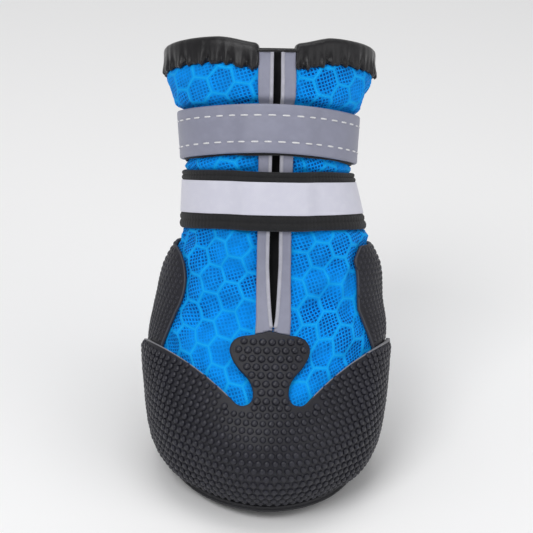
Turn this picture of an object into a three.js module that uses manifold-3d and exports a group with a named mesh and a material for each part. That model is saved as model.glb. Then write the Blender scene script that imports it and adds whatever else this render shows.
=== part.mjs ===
// A soft paw boot for a dog: a mesh fabric upper with a split front, a moulded rubber sole and toe cap,
// a rubber heel counter that wraps both sides, two straps round the shaft and a bound collar.
// Millimetres. +X is the wearer's left as seen from the front, the toe points to -Y, +Z is up.
import * as THREE from "three";
import { mergeVertices } from "three/addons/utils/BufferGeometryUtils.js";
import Module from "manifold-3d";

const wasm = await Module();
wasm.setup();

// Driving sizes of the last
const footLength = 74; // outside length of the upper, toe to heel
const ballWidth = 60; // outside width of the upper at the ball
const instepHeight = 46; // floor to the bend where the foot's top meets the shaft
const shaftRise = 66; // bend to collar, up the front
const shaftSetback = 25.5; // how far the collar's front stands behind the bend
const collarDepth = 42; // front to back across the collar
const collarWidth = 58; // side to side across the collar
const toeSpring = 1.8; // lift of the sole's edge at the toe
const springStart = 0.27; // where that lift begins, as a share of the foot's length ahead of its middle

// Wall thicknesses and clearances
const upperWall = 1.8;
const gap = 0.35; // between pieces that meet
const capThick = 1.6;
const counterThick = 1.3;
const stripThick = 0.9;
const gussetThick = 1.0;
const bindingThick = 1.2;
const insoleThick = 2;
const insoleEase = 0.5; // more room than the gap round the insole

// Sole
const soleThick = 3.4; // floor to the sole's top
const treadDepth = 1.4;
const soleLedge = 2.4; // how far the sole stands out past the foot of the upper
const sideGroove = 0.5; // depth of the step along the sole's side
const lugRadius = 3.3;
const lugPitch = 9.6;
const lugMargin = 2.2; // from a lug to the edge of the sole
const lugDraft = 0.5; // how much wider a lug is at its root

// Front split, its strips and the gusset behind it
const splitHalf = 1.35;
const splitTaper = 17; // length over which it opens
const stripFootHalf = 4.5; // from the middle to a strip's outer edge, at the split's foot
const stripWaistHalf = 4.3;
const stripCollarHalf = 5.3;
const gussetHalf = 4.8;

// Straps and collar binding
const lowerStrapWidth = 15.4;
const lowerTapeWidth = 8.8;
const upperStrapWidth = 12.8;
const strapThick = 1.1;
const tapeThick = 0.4;
const backingThick = 0.6;
const backingDrop = 0.5; // how far the backing shows below its strap
const lowerStrapUp = 0.414; // the strap's middle, as a share of the shaft's front from the bend to the rim
const upperStrapUp = 0.673;
const strapSlack = 0.15; // more room than the gap under a strap
const bindingOutside = 5.6;
const bindingInside = 5;
const collarNotch = 5.7; // half the gap in the binding at the front

// The toe cap's upper edge as seen from in front and above, from the middle out to the cap's rear corner:
// a tab stands up in the middle, with a round notch each side of it. out is a share of half of ballWidth,
// up a share of instepHeight above the toe's lowest point as seen. Each stretch bends towards bendOut, bendUp.
const drawingTilt = THREE.MathUtils.degToRad(27);
const capEdge = [
  { out: 0, up: 0.987 },
  { out: 0.187, up: 0.961, bendOut: 0.085, bendUp: 0.97 },
  { out: 0.353, up: 0.874, bendOut: 0.345, bendUp: 0.957 },
  { out: 0.235, up: 0.75, bendOut: 0.335, bendUp: 0.81 },
  { out: 0.153, up: 0.63, bendOut: 0.153, bendUp: 0.7 },
  { out: 0.25, up: 0.57, bendOut: 0.16, bendUp: 0.57 },
  { out: 0.325, up: 0.598, bendOut: 0.29, bendUp: 0.57 },
  { out: 1.117, up: 0.94, bendOut: 0.69, bendUp: 0.835 },
];
const capRear = 0.17; // how far behind the middle the cap ends, as a share of footLength
const capRearLean = 0.22; // how far that edge leans forward for each millimetre up

// The counter's front edge, drawn the same way, from under the cap up to the wing's tip
const wingEdge = [
  { out: 0.977, up: 0.837 },
  { out: 0.82, up: 1.1, bendOut: 0.94, bendUp: 0.92 },
  { out: 0.743, up: 1.283, bendOut: 0.743, bendUp: 1.19 },
  { out: 0.81, up: 1.46, bendOut: 0.745, bendUp: 1.38 },
  { out: 0.887, up: 1.554, bendOut: 0.85, bendUp: 1.51 },
];

// Sections of the outside of the upper, from its foot edge to the collar. Each is an oval between a front
// point and a back point, tilted down to the back. In the foot's rows frontY and depth are shares of
// footLength, frontZ of instepHeight and width of ballWidth.
const footSections = [
  { frontY: -0.457, frontZ: 0.082, depth: 0.905, tilt: 0, width: 0.875 },
  { frontY: -0.495, frontZ: 0.2, depth: 0.978, tilt: 0.2, width: 0.945 },
  { frontY: -0.5, frontZ: 0.348, depth: 1, tilt: 1.5, width: 0.972 },
  { frontY: -0.457, frontZ: 0.511, depth: 0.964, tilt: 2.8, width: 0.99 },
  { frontY: -0.351, frontZ: 0.674, depth: 0.858, tilt: 4.5, width: 1.015 },
  { frontY: -0.209, frontZ: 0.826, depth: 0.715, tilt: 7, width: 1.025 },
  { frontY: -0.088, frontZ: 1, depth: 0.595, tilt: 11.8, width: 0.98 },
];
// In the shaft's rows rise is a share of shaftRise, setback of shaftSetback, depth of collarDepth and width
// of collarWidth.
const shaftSections = [
  { rise: 0.132, setback: 0.235, depth: 0.914, tilt: 16.6, width: 0.95 },
  { rise: 0.265, setback: 0.365, depth: 0.867, tilt: 20, width: 0.81 },
  { rise: 0.412, setback: 0.482, depth: 0.857, tilt: 22.9, width: 0.75 },
  { rise: 0.54, setback: 0.583, depth: 0.875, tilt: 24, width: 0.742 },
  { rise: 0.67, setback: 0.692, depth: 0.88, tilt: 24, width: 0.748 },
  { rise: 0.78, setback: 0.792, depth: 0.91, tilt: 24, width: 0.842 },
  { rise: 0.89, setback: 0.897, depth: 0.962, tilt: 24, width: 0.945 },
  { rise: 1, setback: 1, depth: 1, tilt: 24, width: 0.985 },
];
const squareness = 1.96; // power of the ovals: 2 is a true ellipse

// Where things sit on the shaft, counted in rows of the two tables
const bendRow = footSections.length - 1;
const rimRow = footSections.length + shaftSections.length - 1;
const counterTopRow = 7.75;
const rowSteps = [0, 0.5, 1, 1.5, 2, 2.5, 3, 3.5, 4, 5, 6, 7];
for (let row = 7.5; row < rimRow; row += 0.5) rowSteps.push(row);

const sections = [
  ...footSections.map((row) => ({
    y: row.frontY * footLength,
    z: row.frontZ * instepHeight,
    depth: row.depth * footLength,
    tilt: row.tilt,
    half: (row.width * ballWidth) / 2,
  })),
  ...shaftSections.map((row) => ({
    y: footSections[bendRow].frontY * footLength + row.setback * shaftSetback,
    z: instepHeight + row.rise * shaftRise,
    depth: row.depth * collarDepth,
    tilt: row.tilt,
    half: (row.width * collarWidth) / 2,
  })),
];

const clamp = THREE.MathUtils.clamp;
const lerp = THREE.MathUtils.lerp;
const smooth = (x, low, high) => THREE.MathUtils.smoothstep(x, low, high);

// One column of the section table at a fractional row, straight on past either end
function column(name, row) {
  const last = sections.length - 1;
  const i = clamp(Math.floor(row), 0, last - 1);
  const at = (k) => sections[clamp(k, 0, last)][name];
  const a = i > 0 ? at(i - 1) : 2 * at(0) - at(1);
  const d = i + 2 <= last ? at(i + 2) : 2 * at(last) - at(last - 1);
  const f = row - i;
  if (f < 0) return at(0) + ((at(1) - a) / 2) * f;
  if (f > 1) return at(last) + ((d - at(last - 1)) / 2) * (f - 1);
  const b = at(i);
  const c = at(i + 1);
  const square = 2 * a - 5 * b + 4 * c - d;
  const cube = 3 * b - a - 3 * c + d;
  return (2 * b + (c - a) * f + square * f ** 2 + cube * f ** 3) / 2;
}

// The sole turns up at the toe, and the foot of the upper with it
function springAt(y) {
  const ahead = (-y / footLength - springStart) / (0.5 - springStart);
  return toeSpring * Math.pow(clamp(ahead, 0, 1.2), 2);
}

// A point of the upper's outside. angle 0 is the front, 180 the back, and 90 lies on +X.
function skin(row, angle) {
  const y = column("y", row);
  const z = column("z", row);
  const depth = column("depth", row);
  const tilt = THREE.MathUtils.degToRad(column("tilt", row));
  const half = column("half", row);
  const round = (v) => Math.sign(v) * Math.pow(Math.abs(v), 2 / squareness);
  const side = round(Math.sin(angle));
  const along = -round(Math.cos(angle));
  const reach = ((along + 1) / 2) * depth;
  const point = new THREE.Vector3(
    half * side,
    y + reach * Math.cos(tilt),
    z - reach * Math.sin(tilt),
  );
  const footZ = sections[0].z;
  point.z += springAt(point.y) * clamp((instepHeight - point.z) / (instepHeight - footZ), 0, 1);
  return point;
}

// The same point moved out (or in, below zero) square to the surface
function offsetSkin(row, angle, out) {
  const step = 0.02;
  const point = skin(row, angle);
  const round = skin(row, angle + step).sub(skin(row, angle - step));
  const up = skin(row + step, angle).sub(skin(row - step, angle));
  const normal = round.cross(up).normalize();
  normal.z *= smooth(row, 0, 1.2); // level at the foot edge, so that every piece there ends on the sole's top
  return point.addScaledVector(normal.normalize(), out);
}

function toSolid(positions, triangles) {
  const vertProperties = new Float32Array(positions.flatMap((p) => [p.x, p.y, p.z]));
  const build = (faces) => {
    const triVerts = new Uint32Array(faces.flat());
    return new wasm.Manifold(new wasm.Mesh({ numProp: 3, vertProperties, triVerts }));
  };
  const made = build(triangles);
  return made.volume() > 0 ? made : build(triangles.map(([a, b, c]) => [a, c, b]));
}

function solidOfGeometry(geometry) {
  const bare = geometry.index ? geometry.toNonIndexed() : geometry.clone();
  bare.deleteAttribute("normal");
  bare.deleteAttribute("uv");
  const merged = mergeVertices(bare, 1e-4);
  const vertProperties = merged.attributes.position.array;
  const triVerts = new Uint32Array(merged.index.array);
  return new wasm.Manifold(new wasm.Mesh({ numProp: 3, vertProperties, triVerts }));
}

// A section of row and offset pairs carried round the upper over a list of angles, closed on itself or capped
function sweep(angles, sectionAt, closed = false) {
  const rings = angles.map((angle) => sectionAt(angle).map(([row, out]) => offsetSkin(row, angle, out)));
  const n = rings[0].length;
  const triangles = [];
  const last = closed ? rings.length : rings.length - 1;
  for (let i = 0; i < last; i++) {
    const here = i * n;
    const next = ((i + 1) % rings.length) * n;
    for (let k = 0; k < n; k++) {
      const m = (k + 1) % n;
      triangles.push([here + k, here + m, next + k], [here + m, next + m, next + k]);
    }
  }
  if (!closed) {
    const end = (rings.length - 1) * n;
    const flat = sectionAt(angles[0]).map(([row, out]) => new THREE.Vector2(row * 8, out));
    const clockwise = THREE.ShapeUtils.isClockWise(flat);
    for (const [a, b, c] of THREE.ShapeUtils.triangulateShape(flat, [])) {
      triangles.push(clockwise ? [a, b, c] : [a, c, b]);
      triangles.push(clockwise ? [end + a, end + c, end + b] : [end + a, end + b, end + c]);
    }
  }
  return toSolid(rings.flat(), triangles);
}

// A skin patch with thickness over a list of rows and a function from row to its angles
function patch(rows, anglesAt, innerAt, outerAt) {
  const sheet = (offsetAt) =>
    rows.flatMap((row) => anglesAt(row).map((angle) => offsetSkin(row, angle, offsetAt(row, angle))));
  const width = anglesAt(rows[0]).length;
  const across = width - 1;
  const up = rows.length - 1;
  const layer = width * rows.length;
  const triangles = [];
  const quad = (a, b, c, d) => triangles.push([a, b, c], [a, c, d]);
  for (let j = 0; j < up; j++)
    for (let i = 0; i < across; i++) {
      const a = j * width + i;
      quad(a, a + 1, a + 1 + width, a + width);
      quad(layer + a, layer + a + width, layer + a + 1 + width, layer + a + 1);
    }
  for (let i = 0; i < across; i++) {
    const top = up * width + i;
    quad(i, layer + i, layer + i + 1, i + 1);
    quad(top, top + 1, layer + top + 1, layer + top);
  }
  for (let j = 0; j < up; j++) {
    const left = j * width;
    const right = left + across;
    quad(left, left + width, layer + left + width, layer + left);
    quad(right, layer + right, layer + right + width, right + width);
  }
  return toSolid([...sheet(outerAt), ...sheet(innerAt)], triangles);
}

const turn = Math.PI * 2;
const degrees = THREE.MathUtils.degToRad;
const spread = (from, to, steps) => Array.from({ length: steps + 1 }, (_, i) => lerp(from, to, i / steps));
// Pieces that lie on each other share these steps, so that their flats stay parallel
const facet = degrees(10);
const facetAngles = (from, to) => spread(from, to, Math.round((to - from) / facet));

const rowsBetween = (from, to) => [from, ...rowSteps.filter((row) => row > from + 0.2 && row < to - 0.2), to];

// The row whose front point stands at a height above the bend, measured along the shaft's front line
const frontSlope = Math.hypot(shaftRise, shaftSetback) / shaftRise;
function rowAlong(length) {
  const height = instepHeight + length / frontSlope;
  let [low, high] = [bendRow, rimRow + 1];
  for (let i = 0; i < 30; i++) {
    const middle = (low + high) / 2;
    if (column("z", middle) < height) low = middle;
    else high = middle;
  }
  return low;
}
const shaftLength = shaftRise * frontSlope;

// The drawing plane: X stays X, up runs up and back, and shapes are cut along the line of sight,
// from well in front of the boot back to the plane through a point
const upOf = (point) => point.y * Math.sin(drawingTilt) + point.z * Math.cos(drawingTilt);
const nearOf = (point) => point.z * Math.sin(drawingTilt) - point.y * Math.cos(drawingTilt);
function drawnPrism(shape, behind) {
  const far = nearOf(behind);
  const depth = footLength * 3;
  const prism = new THREE.ExtrudeGeometry(shape, { depth, bevelEnabled: false, curveSegments: 5 });
  prism.translate(0, 0, far);
  const up = new THREE.Vector3(0, Math.sin(drawingTilt), Math.cos(drawingTilt));
  const toViewer = new THREE.Vector3(0, -Math.cos(drawingTilt), Math.sin(drawingTilt));
  prism.applyMatrix4(new THREE.Matrix4().makeBasis(new THREE.Vector3(1, 0, 0), up, toViewer));
  return solidOfGeometry(prism);
}
const middleOf = (row) => skin(row, 0).lerp(skin(row, Math.PI), 0.5);

// Heights up the drawing plane are counted from the lowest point of the toe
const lowestUp = Math.min(...spread(0, 2, 20).map((row) => upOf(offsetSkin(row, 0, gap + capThick))));

// An opening whose edge a table gives, the same on both sides. It runs on far up from the table's last row.
// Where the table starts off the middle, the opening also runs on down from its first row.
function openShape(edge, clear = 0) {
  const outOf = (share) => (share * ballWidth) / 2;
  const heightOf = (share) => lowestUp + share * instepHeight + clear;
  const [first, last] = [edge[0], edge.at(-1)];
  const farUp = heightOf(last.up) + shaftRise * 2;
  const farOut = first.out > 0 ? outOf(last.out) : ballWidth;
  const shape = new THREE.Shape();
  shape.moveTo(outOf(first.out), heightOf(first.up));
  for (const { out, up, bendOut, bendUp } of edge.slice(1))
    shape.quadraticCurveTo(outOf(bendOut), heightOf(bendUp), outOf(out), heightOf(up));
  shape.lineTo(farOut, farUp);
  shape.lineTo(-farOut, farUp);
  shape.lineTo(-outOf(last.out), heightOf(last.up));
  for (let i = edge.length - 1; i > 0; i--) {
    const { bendOut, bendUp } = edge[i];
    const { out, up } = edge[i - 1];
    shape.quadraticCurveTo(-outOf(bendOut), heightOf(bendUp), -outOf(out), heightOf(up));
  }
  if (first.out > 0) {
    shape.lineTo(-outOf(first.out), lowestUp - instepHeight);
    shape.lineTo(outOf(first.out), lowestUp - instepHeight);
  }
  return shape;
}

// Half the width of the split at a height up the drawing plane: a point at its foot, opening over splitTaper
const splitFoot = lowestUp + capEdge[0].up * instepHeight;
const splitHalfAt = (up) => splitHalf * Math.sqrt(clamp((up - splitFoot) / splitTaper, 0, 1));

// Upper: one hollow wall, open at the collar, at the foot and down the split
function splitShape() {
  const ups = [0.02, 0.1, 0.25, 0.5, 1].map((share) => splitFoot + share * splitTaper);
  ups.push(splitFoot + shaftLength * 2);
  const right = ups.map((up) => new THREE.Vector2(splitHalfAt(up), up));
  const left = ups.map((up) => new THREE.Vector2(-splitHalfAt(up), up)).reverse();
  return new THREE.Shape([new THREE.Vector2(0, splitFoot), ...right, ...left]);
}
// The rim of the collar stands a little higher on each side of the split
const fromFront = (angle) => Math.abs(Math.atan2(Math.sin(angle), Math.cos(angle)));
const rimDip = 0.2; // rows
const rimFall = 0.14; // rows, from beside the split round to the back
const rimAt = (angle) => {
  const lobe = rimDip * 1.2 * smooth(fromFront(angle), 0.15, 0.6);
  return rimRow - rimDip + lobe - rimFall * smooth(fromFront(angle), 0.9, 2.4);
};
function makeUpper() {
  const inside = spread(0, rimRow - 1, rimRow - 1).reverse();
  const wall = sweep(
    facetAngles(0, turn).slice(0, -1),
    (angle) => [
      ...rowSteps.map((row) => [row, 0]),
      [rimAt(angle), 0],
      [rimAt(angle), -upperWall],
      ...inside.map((row) => [row, -upperWall]),
    ],
    true,
  );
  return wall.subtract(drawnPrism(splitShape(), middleOf(rimRow)));
}

// Toe cap: the patch between two offsets of the upper, lifted over the counter at the sides, cut to its edge
const capLift = (angle) => (counterThick + gap) * smooth(Math.abs(angle), degrees(38), degrees(58));
const capTopRow = 7;
function makeToeCap() {
  const reach = degrees(120);
  const shell = patch(
    rowsBetween(0, capTopRow),
    () => facetAngles(-reach, reach),
    (row, angle) => gap + capLift(angle),
    (row, angle) => gap + capThick + capLift(angle),
  );
  const rear = new THREE.BoxGeometry(ballWidth * 2, footLength, instepHeight * 4);
  rear.translate(0, (0.5 + capRear) * footLength, 0);
  rear.applyMatrix4(new THREE.Matrix4().makeShear(0, 0, 0, 0, 0, -capRearLean));
  return shell.subtract(drawnPrism(openShape(capEdge), middleOf(0))).subtract(solidOfGeometry(rear));
}

// Heel counter: round the back of the foot, each end a wing that reaches forward.
// Its lower front edge runs on under the cap.
function makeCounter() {
  const forward = degrees(50);
  const shell = patch(
    rowsBetween(0, counterTopRow),
    () => facetAngles(forward, turn - forward),
    () => gap,
    () => gap + counterThick,
  );
  return shell.subtract(drawnPrism(openShape(wingEdge), middleOf(counterTopRow)));
}

// Strips each side of the split, over the upper and under the straps
const stripFootRow = 5.5;
const stripClear = 0.15; // from the split's edge
const angleAtX = (row, x) =>
  Math.sign(x) * Math.asin(Math.pow(clamp(Math.abs(x) / column("half", row), 0, 1), squareness / 2));
function makeStrip(side) {
  const outerHalfAt = (row) => {
    const waistRow = rowAlong(lowerStrapUp * shaftLength);
    if (row < waistRow) return lerp(stripFootHalf, stripWaistHalf, smooth(row, stripFootRow, waistRow));
    return lerp(stripWaistHalf, stripCollarHalf, smooth(row, waistRow, rimRow));
  };
  const edgesAt = (row) => {
    const inner = splitHalfAt(upOf(skin(row, 0))) + stripClear;
    return [inner, (inner + outerHalfAt(row)) / 2, outerHalfAt(row)].map((x) => angleAtX(row, side * x));
  };
  const strip = patch(
    rowsBetween(stripFootRow, rimAt(0)),
    edgesAt,
    () => gap,
    () => gap + stripThick,
  );
  return strip.intersect(drawnPrism(openShape(capEdge, gap * 1.5), middleOf(rimRow)));
}

// Gusset: the dark stretch panel inside, behind the split
function makeGusset() {
  const edges = spread(-gussetHalf, gussetHalf, 4);
  return patch(
    rowsBetween(5, rimRow - 0.5),
    (row) => edges.map((x) => angleAtX(row, x)),
    () => -upperWall - gap - gussetThick,
    () => -upperWall - gap,
  );
}

// Straps: a band once round the shaft, and on over its own start where its end is pressed down at the back.
// backDrop is how many rows lower the band sits at the back than at the front.
const stripLift = (angle) => (stripThick + gap) * (1 - smooth(fromFront(angle), 0.3, 0.55));
const lowerStrap = {
  up: lowerStrapUp * shaftLength,
  backDrop: 0,
  width: lowerStrapWidth,
  start: degrees(150),
  overlap: degrees(75),
  lapRise: strapThick + gap,
};
const upperStrap = {
  up: upperStrapUp * shaftLength,
  backDrop: 1,
  width: upperStrapWidth,
  start: degrees(195),
  overlap: degrees(-75),
  lapRise: strapThick + gap,
};

// The band's own frame at a distance along it: its lower and upper edges next to the shaft, and its way out
function strapFrame(strap, distance) {
  const angle = strap.start + Math.sign(strap.overlap) * distance;
  const climb = strap.lapRise * smooth(distance, turn - degrees(24), turn - degrees(3));
  const inner = gap + strapSlack + climb + stripLift(angle);
  const up = strap.up - (strap.backDrop * (1 - Math.cos(angle))) / 2;
  const low = offsetSkin(rowAlong(up - strap.width / 2), angle, inner);
  const high = offsetSkin(rowAlong(up + strap.width / 2), angle, inner);
  const middle = rowAlong(up);
  const outward = offsetSkin(middle, angle, inner).sub(skin(middle, angle)).normalize();
  const across = high.clone().sub(low).normalize();
  outward.addScaledVector(across, -outward.dot(across)).normalize();
  return { across, outward, centre: low.clone().lerp(high, 0.5) };
}

// One layer of a strap: from under to under + thick off the shaft, for part of the band's length
function strapLayer(strap, layer) {
  const whole = { under: 0, width: strap.width, from: 0, to: turn + Math.abs(strap.overlap), drop: 0 };
  const { under, thick, width, from, to, drop } = { ...whole, ...layer };
  const steps = Math.round((to - from) / degrees(9));
  const rings = spread(from, to, steps).map((distance) => {
    const { centre, across, outward } = strapFrame(strap, distance);
    const corner = (up, out) =>
      centre.clone().addScaledVector(across, up - drop).addScaledVector(outward, out);
    return [
      corner(-width / 2, under),
      corner(width / 2, under),
      corner(width / 2, under + thick),
      corner(-width / 2, under + thick),
    ];
  });
  const triangles = [];
  for (let i = 0; i < rings.length - 1; i++)
    for (let k = 0; k < 4; k++) {
      const [a, b, c, d] = [i * 4 + k, i * 4 + ((k + 1) % 4), (i + 1) * 4 + ((k + 1) % 4), (i + 1) * 4 + k];
      triangles.push([a, b, c], [a, c, d]);
    }
  const end = (rings.length - 1) * 4;
  triangles.push([0, 2, 1], [0, 3, 2], [end, end + 1, end + 2], [end, end + 2, end + 3]);
  return toSolid(rings.flat(), triangles);
}

// Collar binding: a folded strip over the rim, its ends stopping at the strips
function makeBinding() {
  const half = column("half", rimRow);
  const front = Math.asin(Math.pow(collarNotch / half, squareness / 2));
  const rows = (length) => rimRow - rowAlong(shaftLength - length);
  return sweep(spread(front, turn - front, 44), (angle) => {
    const rim = rimAt(angle);
    return [
      [rim - rows(bindingOutside), gap],
      [rim - rows(bindingOutside), gap + bindingThick],
      [rim + rows(gap), gap + bindingThick],
      [rim + rows(gap + bindingThick), gap * 0.3],
      [rim + rows(gap + bindingThick), -upperWall - gap * 0.3],
      [rim + rows(gap), -upperWall - gap - bindingThick],
      [rim - rows(bindingInside), -upperWall - gap - bindingThick],
      [rim - rows(bindingInside), -upperWall - gap],
      [rim + rows(gap), -upperWall - gap],
      [rim + rows(gap), gap],
    ];
  });
}

// Sole: the outline of the upper's foot edge moved out, as a flat plate that turns up at the toe, with lugs.
// A point of a plate at a share of the way out from the middle
function solePoint(angle, { share, z, out }) {
  const ahead = skin(0, angle + 0.02).sub(skin(0, angle - 0.02));
  const normal = new THREE.Vector3(ahead.y, -ahead.x, 0).normalize();
  const edge = skin(0, angle).addScaledVector(normal, out);
  const point = new THREE.Vector3(edge.x * share, edge.y * share, z);
  point.z += springAt(point.y);
  return point;
}
// A plate: its levels run from the bottom's middle, out over the edge, and back to the top's middle
function makePlate(levels) {
  const angles = facetAngles(0, turn).slice(0, -1);
  const around = angles.length;
  const points = levels.flatMap((level) => angles.map((angle) => solePoint(angle, level)));
  const bottom = points.push(new THREE.Vector3(0, 0, levels[0].z)) - 1;
  const top = points.push(new THREE.Vector3(0, 0, levels.at(-1).z)) - 1;
  const topRing = (levels.length - 1) * around;
  const triangles = [];
  for (let i = 0; i < around; i++) {
    const next = (i + 1) % around;
    triangles.push([bottom, next, i], [top, topRing + i, topRing + next]);
    for (let k = 0; k < levels.length - 1; k++) {
      const [low, high] = [k * around, (k + 1) * around];
      triangles.push([low + i, low + next, high + next], [low + i, high + next, high + i]);
    }
  }
  return toSolid(points, triangles);
}
const faceShares = [0.5, 0.78, 0.9]; // rings that let a face follow the toe's turn
function makeOutsole() {
  const floor = treadDepth;
  const middle = (treadDepth + soleThick) / 2;
  const bead = soleLedge - sideGroove;
  let sole = makePlate([
    ...faceShares.map((share) => ({ share, z: floor, out: soleLedge })),
    { share: 1, z: floor, out: bead - sideGroove },
    { share: 1, z: floor + sideGroove, out: soleLedge - 0.2 },
    { share: 1, z: middle - 0.1, out: soleLedge },
    { share: 1, z: middle + 0.1, out: bead },
    { share: 1, z: soleThick - sideGroove, out: bead },
    { share: 1, z: soleThick, out: bead - 0.4 },
    ...faceShares.toReversed().map((share) => ({ share, z: soleThick, out: soleLedge })),
  ]);
  const rowStep = lugPitch * Math.sin(degrees(60));
  const rows = Math.ceil(footLength / 2 / rowStep);
  const columns = Math.ceil(ballWidth / 2 / lugPitch);
  for (let r = -rows; r <= rows; r++)
    for (let c = -columns; c <= columns; c++) {
      const x = (c + (r % 2 === 0 ? 0 : 0.5)) * lugPitch;
      const y = r * rowStep;
      if (insideSole(x, y, lugRadius + lugMargin)) sole = sole.add(makeLug(x, y));
    }
  return sole;
}
// One lug: a six-sided stud rooted in the plate, standing on the floor, or lifted with the toe
function makeLug(x, y) {
  const root = (soleThick - treadDepth) / 3;
  const height = treadDepth + root;
  const lug = new THREE.CylinderGeometry(lugRadius + lugDraft, lugRadius, height, 6);
  lug.rotateX(Math.PI / 2).translate(x, y, height / 2);
  const spots = lug.attributes.position;
  for (let i = 0; i < spots.count; i++) spots.setZ(i, spots.getZ(i) + springAt(spots.getY(i)));
  return solidOfGeometry(lug);
}
function insideSole(x, y, margin) {
  const angle = Math.atan2(x / ballWidth, -y / footLength);
  const edge = skin(0, angle);
  return Math.hypot(x, y) + margin < Math.hypot(edge.x, edge.y) + soleLedge;
}

// Insole: lies in the upper on the sole's top
function makeInsole() {
  const out = -upperWall - gap - insoleEase;
  const low = soleThick + gap;
  const high = low + insoleThick;
  return makePlate([
    ...faceShares.map((share) => ({ share, z: low, out })),
    { share: 1, z: low, out },
    { share: 1, z: high, out },
    ...faceShares.toReversed().map((share) => ({ share, z: high, out })),
  ]);
}

// Finishes
const finish = (color, roughness, metalness = 0) =>
  new THREE.MeshStandardMaterial({ color, roughness, metalness });
const meshFabric = finish(0x1187e0, 0.85);
const rubber = finish(0x26262b, 0.7);
const blackWebbing = finish(0x1b1b1d, 0.85);
const greyTape = finish(0x8a8a96, 0.45, 0.1);
const silverTape = finish(0xcfcfdc, 0.4, 0.1);
const glossTrim = finish(0x1d1b1e, 0.35);
const footbed = finish(0x2b2b2e, 0.95);

const boot = new THREE.Group();
function addPiece(name, solid, material) {
  const mesh = solid.getMesh();
  const geometry = new THREE.BufferGeometry();
  geometry.setAttribute("position", new THREE.BufferAttribute(mesh.vertProperties, 3));
  geometry.setIndex(new THREE.BufferAttribute(mesh.triVerts, 1));
  geometry.computeVertexNormals();
  const piece = new THREE.Mesh(geometry, material);
  piece.name = name;
  boot.add(piece);
}

addPiece("outsole", makeOutsole(), rubber);
addPiece("insole", makeInsole(), footbed);
addPiece("upper", makeUpper(), meshFabric);
addPiece("toe_cap", makeToeCap(), rubber);
addPiece("heel_counter", makeCounter(), rubber);
addPiece("gusset", makeGusset(), blackWebbing);
addPiece("strip_left", makeStrip(1), greyTape);
addPiece("strip_right", makeStrip(-1), greyTape);
addPiece("collar_binding", makeBinding(), glossTrim);
addPiece("lower_strap", strapLayer(lowerStrap, { thick: strapThick }), blackWebbing);
addPiece(
  "lower_strap_tape",
  strapLayer(lowerStrap, {
    under: strapThick + gap,
    thick: tapeThick,
    width: lowerTapeWidth,
    from: lowerStrap.overlap + degrees(8),
    to: turn + lowerStrap.overlap - degrees(4),
  }),
  silverTape,
);
addPiece(
  "upper_strap_backing",
  strapLayer(upperStrap, { thick: backingThick, to: turn - degrees(30), drop: backingDrop }),
  blackWebbing,
);
addPiece("upper_strap", strapLayer(upperStrap, { under: backingThick + gap, thick: strapThick }), greyTape);

// The origin is on the floor under the middle of the whole boot
const box = new THREE.Box3().setFromObject(boot);
for (const piece of boot.children) piece.position.y = -(box.min.y + box.max.y) / 2;

export default boot;
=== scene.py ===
import math
import random

import bmesh
import bpy
import numpy as np
from mathutils import Matrix, Vector
from mathutils.kdtree import KDTree


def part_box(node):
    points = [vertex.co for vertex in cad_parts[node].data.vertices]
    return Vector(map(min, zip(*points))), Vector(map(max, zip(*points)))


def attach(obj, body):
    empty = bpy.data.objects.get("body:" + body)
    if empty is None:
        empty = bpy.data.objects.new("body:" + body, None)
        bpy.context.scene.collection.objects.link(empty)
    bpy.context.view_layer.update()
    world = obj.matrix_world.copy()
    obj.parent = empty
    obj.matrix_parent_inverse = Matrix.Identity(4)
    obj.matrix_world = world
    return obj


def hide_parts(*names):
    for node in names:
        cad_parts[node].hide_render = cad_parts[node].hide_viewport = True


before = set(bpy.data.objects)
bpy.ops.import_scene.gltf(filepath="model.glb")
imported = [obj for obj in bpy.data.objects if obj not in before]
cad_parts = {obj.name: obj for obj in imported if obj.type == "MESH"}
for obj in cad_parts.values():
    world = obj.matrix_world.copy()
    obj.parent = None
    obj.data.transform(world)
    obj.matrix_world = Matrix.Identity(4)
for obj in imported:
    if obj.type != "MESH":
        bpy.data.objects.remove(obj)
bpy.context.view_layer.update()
scene = bpy.context.scene
mm = 0.001
turn = math.pi * 2

# the boot's own sizes in millimetres, as the frame was built
boot = {
    "footLength": 74, "ballWidth": 60, "instepHeight": 46,
    "shaftRise": 66, "shaftSetback": 25.5, "collarDepth": 42, "collarWidth": 58,
    "toeSpring": 1.8, "springStart": 0.27, "squareness": 1.96,
    "upperWall": 1.8, "gap": 0.25, "drawingTilt": math.radians(27),
}

# section rows from the foot edge to the collar: front y, front z, depth, tilt, width
footRows = [
    (-0.44, 0.082, 0.872, 0, 0.83), (-0.49, 0.2, 0.966, 0.2, 0.925), (-0.5, 0.348, 1, 1.5, 0.965),
    (-0.457, 0.511, 0.964, 2.8, 0.99), (-0.351, 0.674, 0.858, 4.5, 1.015), (-0.209, 0.826, 0.715, 7, 1.025),
    (-0.088, 1, 0.595, 11.8, 0.98),
]
# rise, setback, depth, tilt, width
shaftRows = [
    (0.132, 0.235, 0.914, 16.6, 0.95), (0.265, 0.365, 0.867, 20, 0.81), (0.412, 0.482, 0.857, 22.9, 0.75),
    (0.54, 0.583, 0.875, 24, 0.742), (0.67, 0.692, 0.88, 24, 0.748), (0.78, 0.792, 0.91, 24, 0.842),
    (0.89, 0.897, 0.962, 24, 0.945), (1, 1, 1, 24, 0.985),
]
rimRow = len(footRows) + len(shaftRows) - 1

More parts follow.
